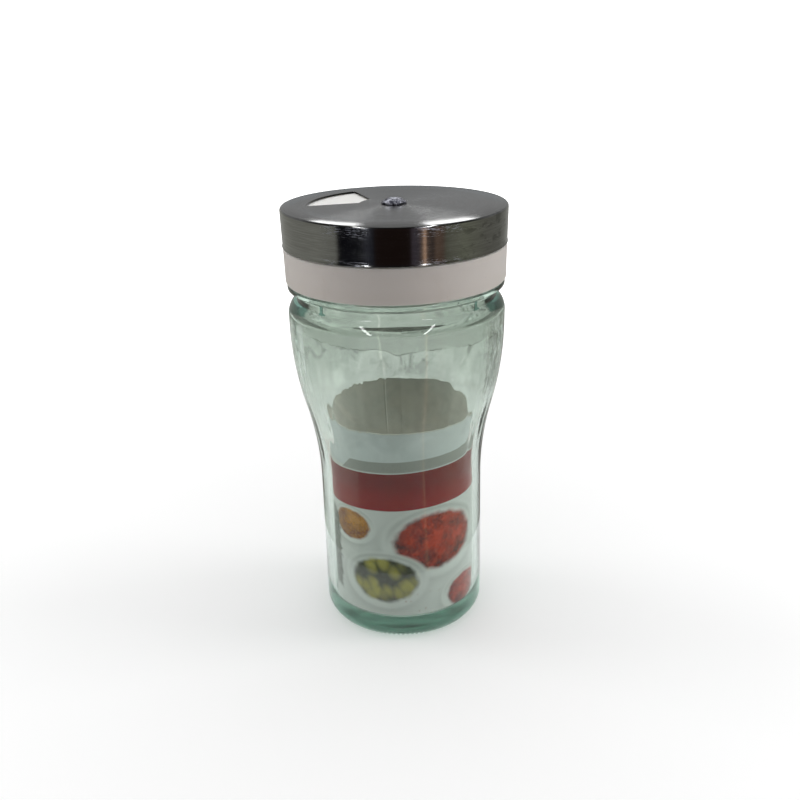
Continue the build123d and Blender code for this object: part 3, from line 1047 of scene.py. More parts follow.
    def front(self, sheet: Sheet, u: Wire, v: Wire, banded: Wire) -> Wire:
        """Colour of the printed side.

        Args:
            sheet: the material's sheet.
            u: place along the paper.
            v: height on the paper.
            banded: share of the red band.

        Returns:
            The colour.
        """
        spot, level = sheet.join(u, v), self.level(u, v)
        colour = sheet.tint(sheet.cloud(spot, 0.06), self.white, self.dull_white)
        for bowl in self.bowls:
            colour = self.bowl(sheet, bowl, u, v, colour)
        strewn = sheet.cells(spot, 0.55).fall(0.10, 0.20) * v.span(8.0, 15.0, 5.0)
        strewn = strewn * u.rise(*map(self.across, self.seed_angles))
        head = sheet.tint(sheet.cloud(spot, 0.10, 3.0, skew=1.0).rise(0.4, 0.7), self.head, self.dull_head)
        slant = u - (v - self.head_foot) * 0.9
        striped = level.span(self.stripe_foot, self.stripe_head, 0.15)
        striped = striped * slant.rise(self.across(self.stripe_angle - 0.5), self.across(self.stripe_angle + 0.5))
        red = sheet.tint(v.rise(53.0, 45.0), self.deep_red, self.red)
        red = sheet.tint(sheet.cloud(spot, 0.25, 4.0).rise(0.5, 0.8) * 0.08, red, self.worn_red)
        return sheet.over(
            colour,
            (strewn * 0.55, self.seed),
            (level.rise(self.band_head - 0.02, self.band_head + 0.18), self.line),
            (v.rise(self.head_foot - 0.1, self.head_foot + 0.1), head),
            (striped, self.stripe),
            (banded, red),
        )

    def level(self, u: Wire, v: Wire) -> Wire:
        """Height above the foot, along the print's slope."""
        return v - (u - self.across(self.slope_angle)) * self.slope

    def paint(self, sheet: Sheet) -> None:
        """Adds the finish's nodes to an empty sheet."""
        u, v, _ = sheet.split(sheet.wire("ShaderNodeUVMap", uv_map="paper"))
        u, v = u * self.reach, v * self.reach
        spot = sheet.join(u, v)
        banded = self.level(u, v).span(self.band_foot, self.band_head, 0.12)
        inside = sheet.own("inside")
        back = sheet.cloud(spot, 0.12, 4.0, 0.6, skew=0.7).rise(0.35, 0.75)
        strip, tear_shade_colour = self.painted_tear_shade(sheet, u, v)
        frayed = sheet.own("rim_gap").fall(0.10, 0.42) * sheet.cloud(spot, 1.1, 3.0).rise(0.38, 0.55)
        grain = sheet.cloud(spot, 4.0, 3.0, 0.7)
        colour = sheet.over(
            self.front(sheet, u, v, banded),
            # Inner side, coloured lighter than the printed white, as painted light inside the roll.
            (inside, sheet.tint(back, self.bare, self.dull_bare)),
            # Painted shade on the torn strip at the left.
            (strip * (1 - inside), tear_shade_colour),
            (frayed, self.fibre),
            (grain.rise(0.55, 0.75) * banded.spread(0.12, 0.03), self.fold),
        )
        sheet.show(surface=sheet.surface(
            "paper",
            base_color=colour,
            roughness=grain.spread(0.6, 0.8),
            specular_ior_level=0.08,
            normal=sheet.bump(grain, 0.03, 0.4),
        ))


# Sub-assemblies


def rod(name: str, levels: Sequence[Point], columns: int) -> Piece:
    """A round solid about the axis, from its radius and height at each level, the lowest first."""
    line = Outline(0, levels[0][1]).using(step=9.0)
    for radius, height in (*levels, (0, levels[-1][1])):
        line.to(radius, height)
    return turned(name, line, columns)


def settle(piece: Piece, body: Body, node: str, material: Material, sharp: float = 180.0) -> None:
    """Dresses a finished piece and puts it in the place of its node.

    Args:
        piece: the finished object.
        body: what it rides on.
        node: the node that it stands for.
        material: its finish.
        sharp: the least angle of an edge that isn't shaded smooth.
    """
    piece.data.shade_smooth()
    if sharp < 180:
        piece.data.set_sharp_from_angle(angle=radians(sharp))
    piece.data.materials.clear()
    piece.data.materials.append(material)
    for face in piece.data.polygons:
        face.material_index = 0
    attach(piece, body.value)
    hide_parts(node)
    log.info("%s: %d faces, rides on %s", piece.name, len(piece.data.polygons), body.value)


@dataclass
class GlassJar:
    """The glass: heel and push-up, waisted body, shoulder, groove, bead and threaded neck."""

    foot_radius: float = 24.65
    waist_radius: float = 24.45
    waist_height: float = 46.0
    bulge_radius: float = 30.95
    bulge_height: float = 95.0
    shoulder_foot: float = 97.8
    shoulder_top: float = 102.4
    groove_radius: float = 28.4
    groove_top: float = 104.5
    groove_round: float = 0.25
    bead_radius: float = 30.75
    bead_bottom: float = 105.6
    bead_top: float = 106.9
    bead_round: float = 0.35
    finish_radius: float = 27.4
    finish_foot_round: float = 0.6
    rim_height: float = 123.9
    rim_round: float = 0.9
    bore_radius: float = 25.2
    throat_bottom: float = 101.2
    throat_round: float = 0.9
    under_shoulder_top: float = 98.0
    under_shoulder_round: float = 0.9
    bulge_bore_radius: float = 28.3
    body_bore_radius: float = 22.2
    floor_height: float = 7.2
    floor_round: float = 1.2
    heel_round: float = 4.5
    ring_inner_radius: float = 16.55
    push_up: float = 1.5
    columns: int = 312
    knurls: int = 104
    knurl_depth: float = 0.32
    knurl_reach: float = 2.4
    thread_turns: float = 2.0
    thread_crest: float = 1.35
    thread_half_width: float = 1.1
    flow_marks: tuple[Point, ...] = (
        (0, 94.6), (30, 93.8), (60, 94.4), (95, 93.6), (130, 94.3), (165, 94.9), (205, 95.3), (218, 95.5), (230, 95.2),
        (240, 94.9), (249, 94.75), (259, 95.2), (263, 95.0), (267, 93.9), (271, 93.6), (275, 94.0), (282, 94.3),
        (287, 94.3), (296, 94.2), (306, 93.7), (313, 93.4), (330, 94.2), (345, 93.9), (360, 94.6),
    )
    flow_step: float = 0.05
    flow_end: float = 92.0

    def outline(self) -> Outline:
        """The section, from the push-up round the outside and down the inside to the floor."""
        line = Outline(0, self.push_up).using(step=2.4).dome(self.ring_inner_radius, 0)
        line.using(step=0.45, columns=2).to(self.foot_radius, 0, self.heel_round)
        line.using(step=2.5, columns=1).to(self.waist_radius, self.waist_height)
        line.using(step=1.6).bulge(self.bulge_radius, self.bulge_height)
        line.to(self.bulge_radius, self.shoulder_foot)
        line.using(step=0.5).swing(self.groove_radius, self.shoulder_top, Side.START)
        line.using(step=0.4).to(self.groove_radius, self.groove_top, self.groove_round)
        line.to(self.bead_radius, self.bead_bottom, self.bead_round)
        line.to(self.bead_radius, self.bead_top, self.bead_round)
        line.to(self.finish_radius, self.bead_top, self.finish_foot_round)
        line.using(step=0.5).to(self.finish_radius, self.rim_height, self.rim_round)
        line.using(inside=True).to(self.bore_radius, self.rim_height, self.rim_round)
        line.using(step=1.6).to(self.bore_radius, self.throat_bottom, self.throat_round)
        line.using(step=0.4).to(self.bulge_bore_radius, self.under_shoulder_top, self.under_shoulder_round)
        line.using(step=0.35).to(self.bulge_bore_radius, self.flow_end)
        line.using(step=1.4).bulge(self.body_bore_radius, self.waist_height)
        line.using(step=2.5).to(self.body_bore_radius, self.floor_height, self.floor_round)
        return line.using(step=2.4).to(0, self.floor_height)

    def flow_line(self, angle: np.ndarray) -> np.ndarray:
        """Height of the ragged line where the upper glass flowed down and stopped."""
        marks = np.array(self.flow_marks)
        line = np.interp(np.degrees(angle) % 360, marks[:, 0], marks[:, 1])
        return line + ripple(angle, ((0.10, 41, 0.5), (0.07, 67, 4.0), (0.05, 103, 1.1)))

    def warp(
        self, radius: np.ndarray, angle: np.ndarray, height: np.ndarray, inside: np.ndarray
    ) -> tuple[np.ndarray, np.ndarray]:
        """Makes the walls uneven, as blown glass is, and thicker above a ragged flow line."""
        body = smooth_step(height, 12, 30) * (1 - smooth_step(height, 95.5, 98.0))
        upper = smooth_step(height, 50, 70)
        waves = ripple(angle + height * 0.011, ((0.05, 5, 0.4), (0.04, 9, 2.1), (0.03, 14, 4.0)))
        streaks = ripple(angle, ((0.020, 23, 1.0), (0.016, 37, 2.6), (0.012, 52, 0.3)))
        inner = body * (waves * (0.35 + 0.65 * upper) + streaks * upper)
        thick = smooth_step(height - self.flow_line(angle), -0.45, 0.45) * (1 - smooth_step(height, 97.0, 98.2))
        outer = body * 0.35 * ripple(angle + 1.0, ((0.025, 6, 0.9), (0.018, 11, 3.0), (0.010, 29, 1.0)))
        walled = (inside > 0.5) & (height < 98.6) & (radius > 15) & (height > 9)
        shift = np.where(walled, inner - self.flow_step * thick, 0.0)
        skin = (inside < 0.5) & (height > 12) & (height < 98)
        shift = np.where(skin, outer - 0.035 * body, shift)
        return radius + shift, height

    def build(self) -> None:
        """Builds and dresses the glass."""
        finish = GlassFinish().material()
        piece = turned("glass_body", self.outline(), self.columns, self.warp)
        spots = np.array([corner.co for corner in piece.data.vertices]) / MM
        mark(piece, "flow", spots[:, 2] - self.flow_line(np.arctan2(spots[:, 1], spots[:, 0])))
        thread = Thread(self.finish_radius, self.thread_turns, self.thread_crest, self.thread_half_width, 0.0)
        thread.cut(piece, finish)
        grown(
            piece, knurl_tree(), count=float(self.knurls), depth=self.knurl_depth * MM,
            inner_radius=self.ring_inner_radius * MM, outer_radius=self.foot_radius * MM,
            reach=self.knurl_reach * MM, finish=finish,
        )
        settle(piece, Body.JAR, "glass_jar", finish)


@dataclass
class PaperLabel:
    """The paper strip rolled up inside the glass, with its torn upper edge."""

    path_radius: float = 21.76
    thickness: float = 0.28
    foot: float = 7.71
    head: float = 69.31
    first_angle: float = 76.0
    round_sweep: float = 330.0
    flap_sweep: float = 48.0
    flap_tightening: float = 3.36
    side_dent: float = 0.9
    dent_angle: float = 183.0
    dent_reach: float = 30.0
    columns: int = 900
    rows: int = 22
    ragged_start: tuple[float, float] = (98.0, 112.0)
    ragged_end: tuple[float, float] = (148.0, 164.0)
    torn_rim: tuple[Point, ...] = (
        (0, 64.6), (4, 64.4), (12, 64.7), (19, 66.1), (24, 67.9), (36, 68.2), (45, 68.8), (60, 69.1),
        (107, 69.1), (125, 68.9), (145, 68.5), (160, 68.0), (172, 67.9), (185, 67.9), (212, 67.9), (270, 68.2),
        (316, 68.2), (330, 67.8), (346, 67.2), (352, 66.2), (357, 65.0), (360, 64.6),
    )

    def rim(self, angle: np.ndarray) -> np.ndarray:
        """Height of the torn edge at each angle."""
        degree = np.degrees(angle) % 360
        spots = np.array(self.torn_rim)
        edge = np.interp(degree, spots[:, 0], spots[:, 1])
        ragged = smooth_step(degree, *self.ragged_start) * (1 - smooth_step(degree, *self.ragged_end))
        rough = ripple(angle, ((0.22, 31, 0.2), (0.16, 47, 1.9), (0.12, 83, 3.1)))
        teeth = 0.35 * np.abs(np.sin(angle * 26 + 0.8 * np.sin(angle * 7))) ** 3
        small = ripple(angle, ((0.035, 40, 0.7), (0.025, 71, 2.0), (0.02, 113, 4.1)))
        return np.minimum(edge + small + ragged * (rough + teeth - 0.25), self.head)

    def faces(self) -> list[tuple[int, ...]]:
        """Faces of both sides and of the edges between them."""
        wide = self.columns + 1
        half = wide * (self.rows + 1)
        faces: list[tuple[int, ...]] = []
        for j in range(self.rows):
            for i in range(self.columns):
                a = j * wide + i
                b = half + a
                faces += [(a, a + 1, a + wide + 1, a + wide), (b, b + wide, b + wide + 1, b + 1)]
            a, b = j * wide, (j + 1) * wide
            faces += [(a, b, half + b, half + a)]
            a, b = a + self.columns, b + self.columns
            faces += [(b, a, half + a, half + b)]
        for i in range(self.columns):
            top = self.rows * wide + i
            faces += [(half + i, half + i + 1, i + 1, i), (top, top + 1, half + top + 1, half + top)]
        return faces

    def build(self) -> None:
        """Builds and dresses the label."""
        sweep = self.round_sweep + self.flap_sweep
        turn = np.radians(np.linspace(0, sweep, self.columns + 1))
        seam = radians(self.first_angle + self.round_sweep)
        tight = np.where(turn > radians(self.round_sweep), self.flap_tightening, 0.0)[:, None]
        facing = turn + radians(self.first_angle)
        normal = np.stack([np.cos(facing), np.sin(facing)], axis=1)
        middle = tight * (cos(seam), sin(seam)) + (self.path_radius - tight) * normal
        angle = np.arctan2(middle[:, 1], middle[:, 0])
        length = np.concatenate([[0], np.cumsum(np.hypot(*np.diff(middle, axis=0).T))])
        slack = 0.06 * ripple(facing, ((1.0, 3, 0.5), (0.7, 8, 2.0), (0.5, 13, 4.4)))
        slack -= self.side_dent * np.exp(-(((np.degrees(angle) % 360 - self.dent_angle) / self.dent_reach) ** 2))
        rim = self.rim(angle)
        spots, flags, gaps, marks = [], [], [], []
        for side, inside in ((0.5, 0.0), (-0.5, 1.0)):
            for part in np.linspace(0, 1, self.rows + 1):
                bow = slack * (0.3 + 0.7 * part)
                flat = middle + normal * (side * self.thickness + bow)[:, None]
                z = self.foot + part * (rim - self.foot)
                spots.append(np.column_stack([flat, z]))
                flags.append(np.full(len(z), inside))
                gaps.append(rim - z)
                marks.append(np.column_stack([length, z]))
        piece = new_piece("label_strip", np.concatenate(spots), self.faces())
        mark(piece, "inside", np.concatenate(flags))
        mark(piece, "rim_gap", np.concatenate(gaps))
        finish = LabelPrint()
        places = np.concatenate(marks) / finish.reach
        layer = piece.data.uv_layers.new(name="paper")
        corners = np.zeros(len(piece.data.loops), np.int32)
        piece.data.loops.foreach_get("vertex_index", corners)
        layer.data.foreach_set("uv", places[corners].astype(np.float32).ravel())
        settle(piece, Body.JAR, "label_sleeve", finish.material(), sharp=50)


@dataclass
class SealingLiner:
    """The flat foam ring between the glass rim and the cap."""

    inner_radius: float = 25.0
    outer_radius: float = 28.8
    foot: float = 123.9
    thickness: float = 1.2
    edge_round: float = 0.25

    def build(self) -> None:
        """Builds and dresses the liner."""
        head = self.foot + self.thickness
        middle = (self.inner_radius + self.outer_radius) / 2
        line = Outline(middle, self.foot).using(step=1.0)
        line.to(self.outer_radius, self.foot, self.edge_round).to(self.outer_radius, head, self.edge_round)
        line.to(self.inner_radius, head, self.edge_round).to(self.inner_radius, self.foot, self.edge_round)
        piece = turned("foam_liner", line.to(middle, self.foot), 240)
        settle(piece, Body.SEAL, "liner_ring", FoamFinish().material())


@dataclass
class Window:
    """The fan-shaped window, drawn between two arcs and two straight sides."""

    angle: float = 150.4
    side_angle: float = 41.0
    apex_offset: float = 5.9
    inner_radius: float = 9.9
    outer_radius: float = 24.1
    corner_round: float = 0.35

    def reach(self, radius: float, apex: float) -> float:
        """How far along its straight side the window meets a circle."""
        side = radians(self.side_angle)
        return sqrt(radius**2 - (apex * sin(side)) ** 2) - apex * cos(side)

    def corners(self, margin: float = 0.0, turn: float = 0.0) -> list[Point]:
        """The fan's outline with rounded corners.

        Args:
            margin: how far it is drawn in all round.
            turn: how far it is turned about the axis.

        Returns:
            Points in order, anticlockwise.
        """
        side = radians(self.side_angle)
        apex = self.apex_offset + margin / sin(side)
        inner, outer = self.inner_radius + margin, self.outer_radius - margin
        near, far = self.reach(inner, apex), self.reach(outer, apex)
        low = atan2(near * sin(side), apex + near * cos(side))
        high = atan2(far * sin(side), apex + far * cos(side))
        outer_steps, inner_steps = 60, 24
        arcs = [Vector((outer * cos(a), outer * sin(a))) for a in np.linspace(-high, high, outer_steps + 1)]
        arcs += [Vector((inner * cos(a), inner * sin(a))) for a in np.linspace(low, -low, inner_steps + 1)]
        sharp = {0, outer_steps, outer_steps + 1, len(arcs) - 1}
        points: list[Vector] = []
        for i, here in enumerate(arcs):
            if i not in sharp:
                if all((here - arcs[k]).length >= self.corner_round * 1.05 for k in sharp):
                    points.append(here)
                continue
            back = (arcs[i - 1] - here).normalized()
            ahead = (arcs[(i + 1) % len(arcs)] - here).normalized()
            between = back.angle(ahead)
            start = here + back * self.corner_round / tan(between / 2)
            finish = here + ahead * self.corner_round / tan(between / 2)
            points += [start.lerp(here, t).lerp(here.lerp(finish, t), t) for t in np.linspace(0, 1, 7)]
        swing = Matrix.Rotation(radians(self.angle + turn), 2)
        return [tuple(swing @ point) for point in points]

    def cutter(self, name: str, levels: Sequence[Point], turn: float = 0.0) -> Piece:
        """A closed solid in the window's shape.

        Args:
            name: the solid's name.
            levels: height and margin of each level, from the lowest up.
            turn: how far it is turned about the axis.

        Returns:
            The solid.
        """
        spots = [(x, y, height) for height, margin in levels for x, y in self.corners(margin, turn)]
        count = len(spots) // len(levels)
        faces: list[tuple[int, ...]] = [tuple(range(count))[::-1]]
        for row in range(len(levels) - 1):
            for k in range(count):
                a, b = row * count + k, row * count + (k + 1) % count
                faces.append((a, b, b + count, a + count))
        faces.append(tuple(range((len(levels) - 1) * count, len(levels) * count)))
        return new_piece(name, np.array(spots), faces)


@dataclass
class ShakerCap:
    """The white cap: collar, drum under the steel, plug seal, boss, ribs and stations of holes."""

    drum_radius: float = 30.45
    plate_top: float = 127.0
    plate_bottom: float = 125.1
    pad_radius: float = 6.0
    pad_top: float = 127.2
    collar_ledge: float = 117.04
    collar_top_radius: float = 31.25
    collar_foot_radius: float = 31.1
    collar_foot: float = 107.24
    skirt_bore_radius: float = 29.3
    plug_radius: float = 24.9
    plug_inner_radius: float = 24.0
    plug_bottom: float = 121.9
    boss_radius: float = 4.2
    boss_bottom: float = 123.7
    bore_radius: float = 1.77
    rib_width: float = 1.0
    rib_height: float = 1.0
    pour_margin: float = 1.1
    drill_flare: float = 1.35  # how much wider than its hole the drill is outside the plate
    drill_columns: int = 32
    bore_columns: int = 48
    overcut: float = 0.4  # how far a cutter reaches past what it cuts
    edge_break: float = 0.15
    coarse_radius: float = 1.7
    fine_radius: float = 0.9
    coarse_rows: tuple[float, ...] = (0.22, 0.53, 0.84)
    fine_rows: tuple[float, ...] = (0.12, 0.36, 0.60, 0.84)
    coarse_station: int = 1
    fine_station: int = 3
    row_width: float = 0.74
    rib_start: float = 2.6
    rib_draft: float = 0.12
    rib_sink: float = 0.4  # how far a rib reaches into the plate and the plug
    columns: int = 300
    thread_turns: float = 1.0
    thread_crest: float = 1.4
    thread_half_width: float = 0.75

    def outline(self) -> Outline:
        """The section, from the pad's middle out, down the collar and back under the plate."""
        line = Outline(0, self.pad_top).using(step=2.0).to(self.pad_radius, self.pad_top, 0.12)
        line.to(self.pad_radius, self.plate_top, 0.1).to(self.drum_radius, self.plate_top, 0.8)
        line.to(self.drum_radius, self.collar_ledge, 0.3).to(self.collar_top_radius, self.collar_ledge, 0.3)
        line.using(step=1.0).to(self.collar_foot_radius, self.collar_foot, 0.5)
        line.using(inside=True).to(self.skirt_bore_radius, self.collar_foot, 0.4)
        line.using(step=0.4).to(self.skirt_bore_radius, self.plate_bottom, 0.5)
        line.using(step=1.5).to(self.plug_radius, self.plate_bottom, 0.15).to(self.plug_radius, self.plug_bottom, 0.3)
        line.to(self.plug_inner_radius, self.plug_bottom, 0.2).to(self.plug_inner_radius, self.plate_bottom, 0.3)
        line.to(self.boss_radius, self.plate_bottom, 0.3).to(self.boss_radius, self.boss_bottom, 0.25)
        return line.to(0, self.boss_bottom)

    def rows(self, window: Window, shares: Sequence[float], station: int) -> list[Point]:
        """Places of one station's holes, on arcs about the axis.

        Args:
            window: the window that the station matches.
            shares: how far out each row lies in the window.
            station: steps of 90 degrees clockwise from the blank station.

        Returns:
            The places, in millimetres.
        """
        places: list[Point] = []
        for row, share in enumerate(shares):
            radius = window.inner_radius + share * (window.outer_radius - window.inner_radius)
            reach, side = window.reach(radius, window.apex_offset), radians(window.side_angle)
            half = self.row_width * atan2(reach * sin(side), window.apex_offset + reach * cos(side))
            for k in range(row + 2):
                angle = radians(window.angle - 90 * station) - half + 2 * half * k / (row + 1)
                places.append((radius * cos(angle), radius * sin(angle)))
        return places

    def build(self, window: Window) -> None:
        """Builds and dresses the cap."""
        finish = PlasticFinish().material()
        piece = turned("moulded_cap", self.outline(), self.columns)
        thread = Thread(self.skirt_bore_radius, self.thread_turns, -self.thread_crest, self.thread_half_width, 0.5)
        thread.cut(piece, finish)
        coarse = self.rows(window, self.coarse_rows, self.coarse_station)
        fine = self.rows(window, self.fine_rows, self.fine_station)
        places = new_piece("hole_places", np.array([(x, y, 0) for x, y in coarse + fine]), [], closed=False)
        mark(places, "bore", [self.coarse_radius] * len(coarse) + [self.fine_radius] * len(fine))
        top, low, margin = self.plate_top, self.plate_bottom, self.pour_margin
        flare, bore, over, rim = self.drill_flare, self.bore_radius, self.overcut, self.edge_break
        sides = ((flare, low - 0.5), (1.0, low + 0.16), (1.0, top - 0.14), (flare, top + over))
        drill = rod("drill", sides, self.drill_columns)
        shaft = rod("axle_bore", ((bore, self.boss_bottom - 0.5), (bore, self.pad_top + 0.5)), self.bore_columns)
        levels = ((low - over, margin - over), (low + rim, margin), (top - rim, margin), (top + over, margin - over))
        pour = window.cutter("pouring_hole", levels, turn=-180.0)
        work = bmesh.new()
        work.from_mesh(shaft.data)
        work.from_mesh(pour.data)
        work.to_mesh(shaft.data)
        work.free()
        half, head, foot = self.rib_width / 2, low + self.rib_sink, low - self.rib_height
        edge = half - self.rib_draft
        section = ((-half, head), (-edge, foot), (edge, foot), (half, head))
        ends = (self.rib_start, self.plug_inner_radius + self.rib_sink)
        sides = [(k, (k + 1) % 4, (k + 1) % 4 + 4, k + 4) for k in range(4)]
        spots = np.array([(x, y, z) for x in ends for y, z in section])
        rib = new_piece("rib", spots, [(0, 1, 2, 3), (7, 6, 5, 4)] + sides)
        grown(
            piece, perforation_tree(), places=places, drill=drill, openings=shaft, rib=rib,
            ribs=4, first_rib=radians(window.angle + 45), finish=finish,
        )
        for helper in (places, drill, shaft, pour, rib):
            bpy.data.objects.remove(helper)
        settle(piece, Body.CAP, "shaker_cap", finish, sharp=35)


@dataclass
class SteelCover:
    """The drawn steel cover, with the window punched through its top."""

    bore_radius: float = 1.81
    top: float = 127.6
    radius: float = 31.5
    foot_radius: float = 31.3
    foot: float = 117.34
    thickness: float = 0.4
    corner_round: float = 0.6
    rim_flare: float = 0.18
    rim_height: float = 0.6
    rim_round: float = 0.4
    fall_radius: float = 24.5
    edge_fall: float = 0.22
    lean: float = 0.35
    lean_angle: float = 0.35  # radians
    punch: tuple[Point, ...] = ((-1.4, 0.0), (-0.10, 0.0), (-0.03, -0.04), (0.3, -0.28))  # height over the top, margin
    columns: int = 360

    def outline(self) -> Outline:
        """The section of the skin, round its outside and back along its inside."""
        wall, inner_top = self.thickness, self.top - self.thickness
        line = Outline(self.bore_radius, self.top).using(step=1.2)
        for share in (0.0, 0.2, 0.4, 0.6, 0.8, 0.95):
            radius = self.fall_radius + share * (self.radius - self.fall_radius)
            line.to(radius, self.top - self.edge_fall * share**1.7)
        line.to(self.radius, self.top - self.edge_fall, self.corner_round)
        line.to(self.foot_radius, self.foot + self.rim_height, self.rim_round)
        line.using(step=0.3).to(self.foot_radius + self.rim_flare, self.foot, 0.1)
        line.using(inside=True).to(self.foot_radius + self.rim_flare - wall, self.foot, 0.1)
        line.to(self.foot_radius - wall, self.foot + self.rim_height, self.rim_round)
        line.using(step=1.2).to(self.radius - wall, inner_top - self.edge_fall, self.corner_round - wall)
        line.to(self.fall_radius, inner_top)
        return line.to(self.bore_radius, inner_top).to(self.bore_radius, self.top)

    def warp(
        self, radius: np.ndarray, angle: np.ndarray, height: np.ndarray, inside: np.ndarray
    ) -> tuple[np.ndarray, np.ndarray]:
        """Leans the top a little, as it was pressed."""
        share = smooth_step(height, 119.0, 127.0) * smooth_step(radius, 22.0, 30.5)
        return radius, height + self.lean * share * np.clip(-np.cos(angle - self.lean_angle), 0, 1)

    def build(self, window: Window) -> None:
        """Builds and dresses the cover."""
        piece = turned("steel_lid_skin", self.outline(), self.columns, self.warp)
        cutter = window.cutter("punch", [(self.top + height, margin) for height, margin in self.punch])
        modifier = piece.modifiers.new("punched_window", "BOOLEAN")
        modifier.operation, modifier.solver, modifier.object = "DIFFERENCE", "MANIFOLD", cutter
        plain(piece, modifier)
        bpy.data.objects.remove(cutter)
        settle(piece, Body.COVER, "steel_cover", BrushedFinish().material(), sharp=32)


@dataclass
class RivetSet:
    """The rivet that the cover turns on, and the washer under its clinched tail."""

    cover_top: float = 127.6
    head_radius: float = 3.5
    head_height: float = 1.4
    head_edge: float = 0.45
    head_play: float = 0.02
    crown_radius: float = 1.9
    dish_radius: float = 0.8
    dish_depth: float = 0.25
    shank_radius: float = 1.75
    washer_bottom: float = 123.2
    washer_top: float = 123.7
    washer_radius: float = 3.6
    washer_bore: float = 1.77
    tail_radius: float = 2.6
    tail_height: float = 0.9

    def build(self) -> None:
        """Builds and dresses both."""
        finish = BrightFinish().material()
        crown = self.cover_top + self.head_height
        tail = self.washer_bottom - self.tail_height
        line = Outline(0, crown - self.dish_depth).using(step=0.3).to(self.dish_radius, crown, 0.3)
        seat = self.cover_top + self.head_play
        line.to(self.crown_radius, crown, 0.5).to(self.head_radius, self.cover_top + self.head_edge, 0.22)
        line.to(self.head_radius, seat, 0.12).to(self.shank_radius, seat)
        line.using(step=2.0).to(self.shank_radius, self.washer_bottom)
        line.using(step=0.4).to(self.tail_radius, self.washer_bottom, 0.08).to(self.tail_radius, tail, 0.3)
        rivet = turned("cover_rivet", line.to(0, tail), 96)
        settle(rivet, Body.CAP, "rivet", finish, sharp=50)
        middle = (self.washer_bore + self.washer_radius) / 2
        ring = Outline(middle, self.washer_bottom).using(step=0.6).to(self.washer_radius, self.washer_bottom, 0.1)
        ring.to(self.washer_radius, self.washer_top, 0.1).to(self.washer_bore, self.washer_top, 0.05)
        ring.to(self.washer_bore, self.washer_bottom, 0.1).to(middle, self.washer_bottom)
        washer = turned("rivet_backing_washer", ring, 96)
        settle(washer, Body.CAP, "rivet_washer", finish, sharp=50)
# Studio


